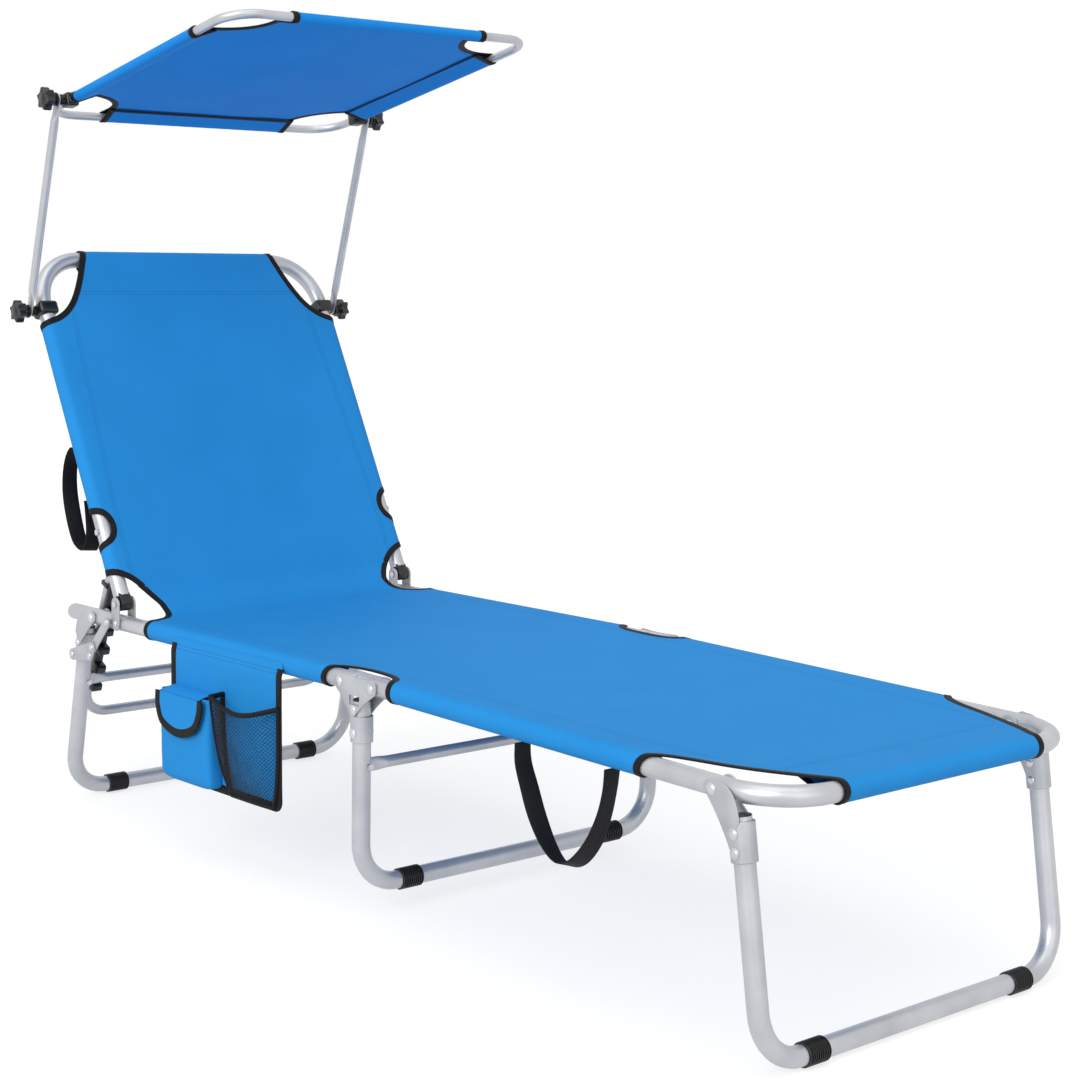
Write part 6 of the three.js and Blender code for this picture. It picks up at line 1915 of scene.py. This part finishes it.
    def build_net(self) -> List[bpy.types.Object]:
        """The net pocket with real open meshes, and its bound edges."""
        columns, rows = self.net_cells
        verts = [self.net_spot(c / columns, r / rows) for r in range(rows + 1) for c in range(columns + 1)]
        middle_start = len(verts)
        verts += [self.net_spot((c + 0.5) / columns, (r + 0.5) / rows)
                  for r in range(rows) for c in range(columns)]
        faces = []
        row = columns + 1
        for r in range(rows):
            for c in range(columns):
                if c + 1 < columns:
                    faces.append((r * row + c + 1, middle_start + r * columns + c + 1,
                                  (r + 1) * row + c + 1, middle_start + r * columns + c))
                if r + 1 < rows:
                    faces.append(((r + 1) * row + c, middle_start + r * columns + c, (r + 1) * row + c + 1,
                                  middle_start + (r + 1) * columns + c))
        net = mesh_piece("net_pocket", verts, faces)
        apply_modifier(net, "WIREFRAME", thickness=self.net_yarn * MM, use_even_offset=False,
                       use_boundary=True)
        dress(net, "seat", self.finishes.net, ["mesh_pocket"], 60.0)
        return [net, *[self.build_net_edge(name, run) for name, run in self.net_edges().items()]]

    def net_edges(self) -> Dict[str, List[Vector]]:
        """The lines that the net's bindings follow."""
        steps = 24
        return {
            "net_gusset_binding": [self.net_spot(self.gusset_share * i / 6, 1.0) for i in range(7)],
            "net_rim_binding": [self.net_spot(self.gusset_share + (1 - self.gusset_share) * i / steps, 1.0)
                                for i in range(steps + 1)],
            "net_bottom_binding": [self.net_spot(0.0, 1 - i / steps) for i in range(steps)]
            + [self.net_spot(i / steps, 0.0) for i in range(steps)]
            + [self.net_spot(1.0, i / steps) for i in range(steps + 1)],
            "net_fold_binding": [self.net_spot(self.gusset_share, i / steps) for i in range(2, steps + 1)],
        }

    def build_net_edge(self, name: str, run: Sequence[Vector]) -> bpy.types.Object:
        """A round tape folded over an edge of the net."""
        radius = self.fold_radius if "fold" in name else self.rim_radius
        tape = bent_tube(name, [spot / MM for spot in run], radius)
        tape.data.transform(Matrix.Scale(MM, 4))
        uv = tape.data.uv_layers.new(name="flat") if not tape.data.uv_layers else tape.data.uv_layers[0]
        uv.name = "flat"
        for loop in tape.data.loops:
            spot = tape.data.vertices[loop.vertex_index].co
            uv.data[loop.index].uv = (spot.x + spot.z, spot.y)
        return dress(tape, "seat", self.finishes.binding, (), 60.0)


@dataclass
class Straps:
    """The two carrying straps of black webbing on the sitter's right."""

    finishes: Finishes
    width: float = 25.0
    thickness: float = 1.6

    def build(self) -> None:
        """Builds both straps."""
        hang = CLOTH_LIFT + 1.2
        foot = [(330.0, -hang), (332, -40), (344, -68), (361, -103), (384, -134), (408, -149), (434, -141),
                (460, -112), (477, -76), (486, -42), (489, -hang)]
        loop = self.build_strap("foot_strap_webbing", FOOT, "foot", "foot_strap", foot, 24.0)
        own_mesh(loop)
        back = [(-178.0, -hang), (-158, -21), (-128, -34), (-111, -58), (-132, -78), (-170, -79), (-214, -70),
                (-246, -52), (-263, -32), (-268, -hang)]
        loop = self.build_strap("back_strap_webbing", BACK, "backrest", "back_strap", back, 14.0)
        way = BACK.at(0, 0, 1) - BACK.at(0, 0, 0)
        tuple(BACK.at(-223, -RAIL_Y, -hang))
        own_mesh(loop)

    def build_strap(self, name: str, place: Place, body: str, node: str, points: Sequence[Point],
                    twist: float) -> bpy.types.Object:
        """A band that hangs in a loop and twists a little.

        Args:
            name: The new object's name.
            place: The joint frame of its points.
            body: The body that carries it.
            node: The CAD node that it stands for.
            points: Its middle line in the X-Z plane.
            twist: How far its width turns at the bottom of the loop, in degrees.

        Returns:
            The band.
        """
        run = spline(points, 6.0)
        total = sum(math.dist(a, b) for a, b in zip(run, run[1:]))
        verts, coords, past = [], [], 0.0
        shares = (-0.5, -0.2, 0.2, 0.5)
        for i, spot in enumerate(run):
            before, after = run[max(i - 1, 0)], run[min(i + 1, len(run) - 1)]
            past += math.dist(before, spot) if i else 0.0
            along = Vector((after[0] - before[0], 0, after[1] - before[1])).normalized()
            turn = math.radians(twist) * math.sin(math.pi * past / total)
            turn *= math.sin(2.2 * math.pi * past / total + 0.5)
            across = Matrix.Rotation(turn, 3, along) @ Vector((0, 1, 0))
            for share in shares:
                verts.append(place.at(*(Vector((spot[0], -RAIL_Y, spot[1])) + across * share * self.width)))
                coords.append((past * MM, share * self.width * MM))
        count = len(shares)
        faces = [(a, a + 1, a + count + 1, a + count)
                 for i in range(len(run) - 1) for a in range(i * count, i * count + count - 1)]
        strap = mesh_piece(name, verts, faces, coords)
        apply_modifier(strap, "SOLIDIFY", thickness=self.thickness * MM, offset=0.0)
        apply_modifier(strap, "BEVEL", width=0.4 * MM, segments=2, limit_method="ANGLE")
        dress(strap, body, self.finishes.webbing, [node], 50.0)
        return strap


# Stage


@dataclass
class Studio:
    """A plain pale floor, soft light and the camera at the photograph's angle."""

    camera_at: Tuple[float, float, float] = (2.3101, -1.9305, 0.8978)
    yaw: float = -48.62
    pitch: float = -7.83
    roll: float = 1.07
    lens: float = 71.28
    floor_size: float = 60.0
    floor_gap: float = 0.0006
    floor_bounce: float = 0.8
    floor_shadow: float = 0.34
    floor_glow: float = 0.72
    world_level: float = 0.56
    key_level: float = 1.7
    top_level: float = 0.7
    front_level: float = 0.5

    def build(self) -> None:
        """Builds the floor, the lamps, the world and the camera."""
        self.build_floor()
        self.build_world()
        self.add_sun("key_lamp", (0.3, -0.85, 0.46), self.key_level, 40.0)
        self.add_sun("top_lamp", (0.15, -0.1, 1.0), self.top_level, 50.0)
        self.add_sun("front_lamp", (0.9, -0.2, 0.35), self.front_level, 50.0)
        self.build_camera()
        bpy.context.scene.view_settings.view_transform = "Standard"

    def shown(self, tree: bpy.types.NodeTree) -> bpy.types.NodeSocket:
        """One where a ray from the camera, a reflection or glass sees the surface."""
        rays = add_node(tree, "ShaderNodeLightPath").outputs
        some = math_node(tree, "MAXIMUM", rays["Is Camera Ray"], rays["Is Glossy Ray"])
        return math_node(tree, "MAXIMUM", some, rays["Is Transmission Ray"])

    def build_floor(self) -> None:
        """A wide pale floor that keeps the object's shadow."""
        deselect()
        bpy.ops.mesh.primitive_plane_add(size=self.floor_size, location=(0, 0, 0))
        floor = bpy.context.object
        floor.name = "studio_floor"
        floor.data.transform(Matrix.Translation((0, 0, -self.floor_gap)))
        material = bpy.data.materials.new("white_seamless_paper")
        material.use_nodes = True
        tree = material.node_tree
        tree.nodes.clear()
        tone = add_node(tree, "ShaderNodeMapRange", {
            "Value": self.shown(tree), "To Min": self.floor_bounce, "To Max": self.floor_shadow})
        paper = add_node(tree, "ShaderNodeBsdfDiffuse", {"Color": tone.outputs["Result"]})
        level = math_node(tree, "MULTIPLY", self.shown(tree), self.floor_glow)
        glow = add_node(tree, "ShaderNodeEmission", {"Color": (1, 1, 1, 1), "Strength": level})
        both = add_node(tree, "ShaderNodeAddShader", {0: paper.outputs[0], 1: glow.outputs[0]})
        add_node(tree, "ShaderNodeOutputMaterial", {"Surface": both.outputs[0]})
        floor.data.materials.append(material)
        floor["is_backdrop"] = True

    def build_world(self) -> None:
        """Even light from all round, with white behind the object."""
        world = bpy.data.worlds.new("studio_world")
        bpy.context.scene.world = world
        world.use_nodes = True
        tree = world.node_tree
        tree.nodes.clear()
        level = add_node(tree, "ShaderNodeMapRange", {
            "Value": self.shown(tree), "To Min": self.world_level, "To Max": 1.0})
        back = add_node(tree, "ShaderNodeBackground", {
            "Color": (1, 1, 1, 1), "Strength": level.outputs["Result"]})
        add_node(tree, "ShaderNodeOutputWorld", {"Surface": back.outputs[0]})

    def add_sun(self, name: str, way: Tuple[float, float, float], level: float, spread: float) -> None:
        """A broad lamp that shines from the given way."""
        lamp = bpy.data.lights.new(name, "SUN")
        lamp.energy = level
        lamp.angle = math.radians(spread)
        light = bpy.data.objects.new(name, lamp)
        light.rotation_euler = Vector(way).to_track_quat("Z", "Y").to_euler()
        bpy.context.scene.collection.objects.link(light)

    def build_camera(self) -> None:
        """The camera at the photograph's viewing angle."""
        yaw, pitch, roll = (math.radians(a) for a in (self.yaw, self.pitch, self.roll))
        ahead = Vector((math.sin(yaw) * math.cos(pitch), math.cos(yaw) * math.cos(pitch), math.sin(pitch)))
        right = ahead.cross(Vector((0, 0, 1))).normalized()
        up = right.cross(ahead)
        level_right = right * math.cos(roll) + up * math.sin(roll)
        level_up = up * math.cos(roll) - right * math.sin(roll)
        camera = bpy.data.objects.new("camera", bpy.data.cameras.new("camera"))
        camera.data.lens = self.lens
        camera.data.sensor_width = 36.0
        camera.matrix_world = Matrix.Translation(self.camera_at) @ Matrix(
            (level_right, level_up, -ahead)).transposed().to_4x4()
        bpy.context.scene.collection.objects.link(camera)
        bpy.context.scene.camera = camera


def main() -> None:
    """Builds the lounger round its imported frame, sub-assembly by sub-assembly."""
    logging.basicConfig(level=logging.INFO, format="%(message)s")
    Studio().build()
    finishes = Finishes()
    FrameTubes(finishes).build()
    mid = Leg(finishes, "mid", "mid_leg", MID_LEG, ahead=31.0, top_drop=23.0, lift=25.4, brace_drop=112.0)
    rear = Leg(finishes, "rear", "rear_leg", REAR_LEG, ahead=-32.3, top_drop=27.0, brace_drop=118.0)
    foot = Leg(finishes, "foot", "foot_leg", FOOT_LEG, ahead=27.2, top_drop=31.0)
    for leg in (mid, rear, foot):
        leg.build()
    MiddleBracket(mid, 43.0, 79.0, [(0, 0), (68, 0), (31, -34), (31, -66)]).build()
    Bracket(rear, 36.0, 62.0, [(0, 0), (-32.3, -53)]).build()
    Bracket(foot, 36.0, 81.5, [(0, 0), (27.2, -48.7), (27.2, -69.8)]).build()
    RearMechanism(finishes).build()
    PackedFasteners(finishes).build()
    Canopy(finishes).build()
    Sling(finishes).build()
    Organiser(finishes).build()
    Straps(finishes).build()
    boxes = {"cad": CAD_BOX, "visual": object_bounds()}
    {name: [list(corner) for corner in box] for name, box in boxes.items()}


if __name__ == "__main__":
    main()
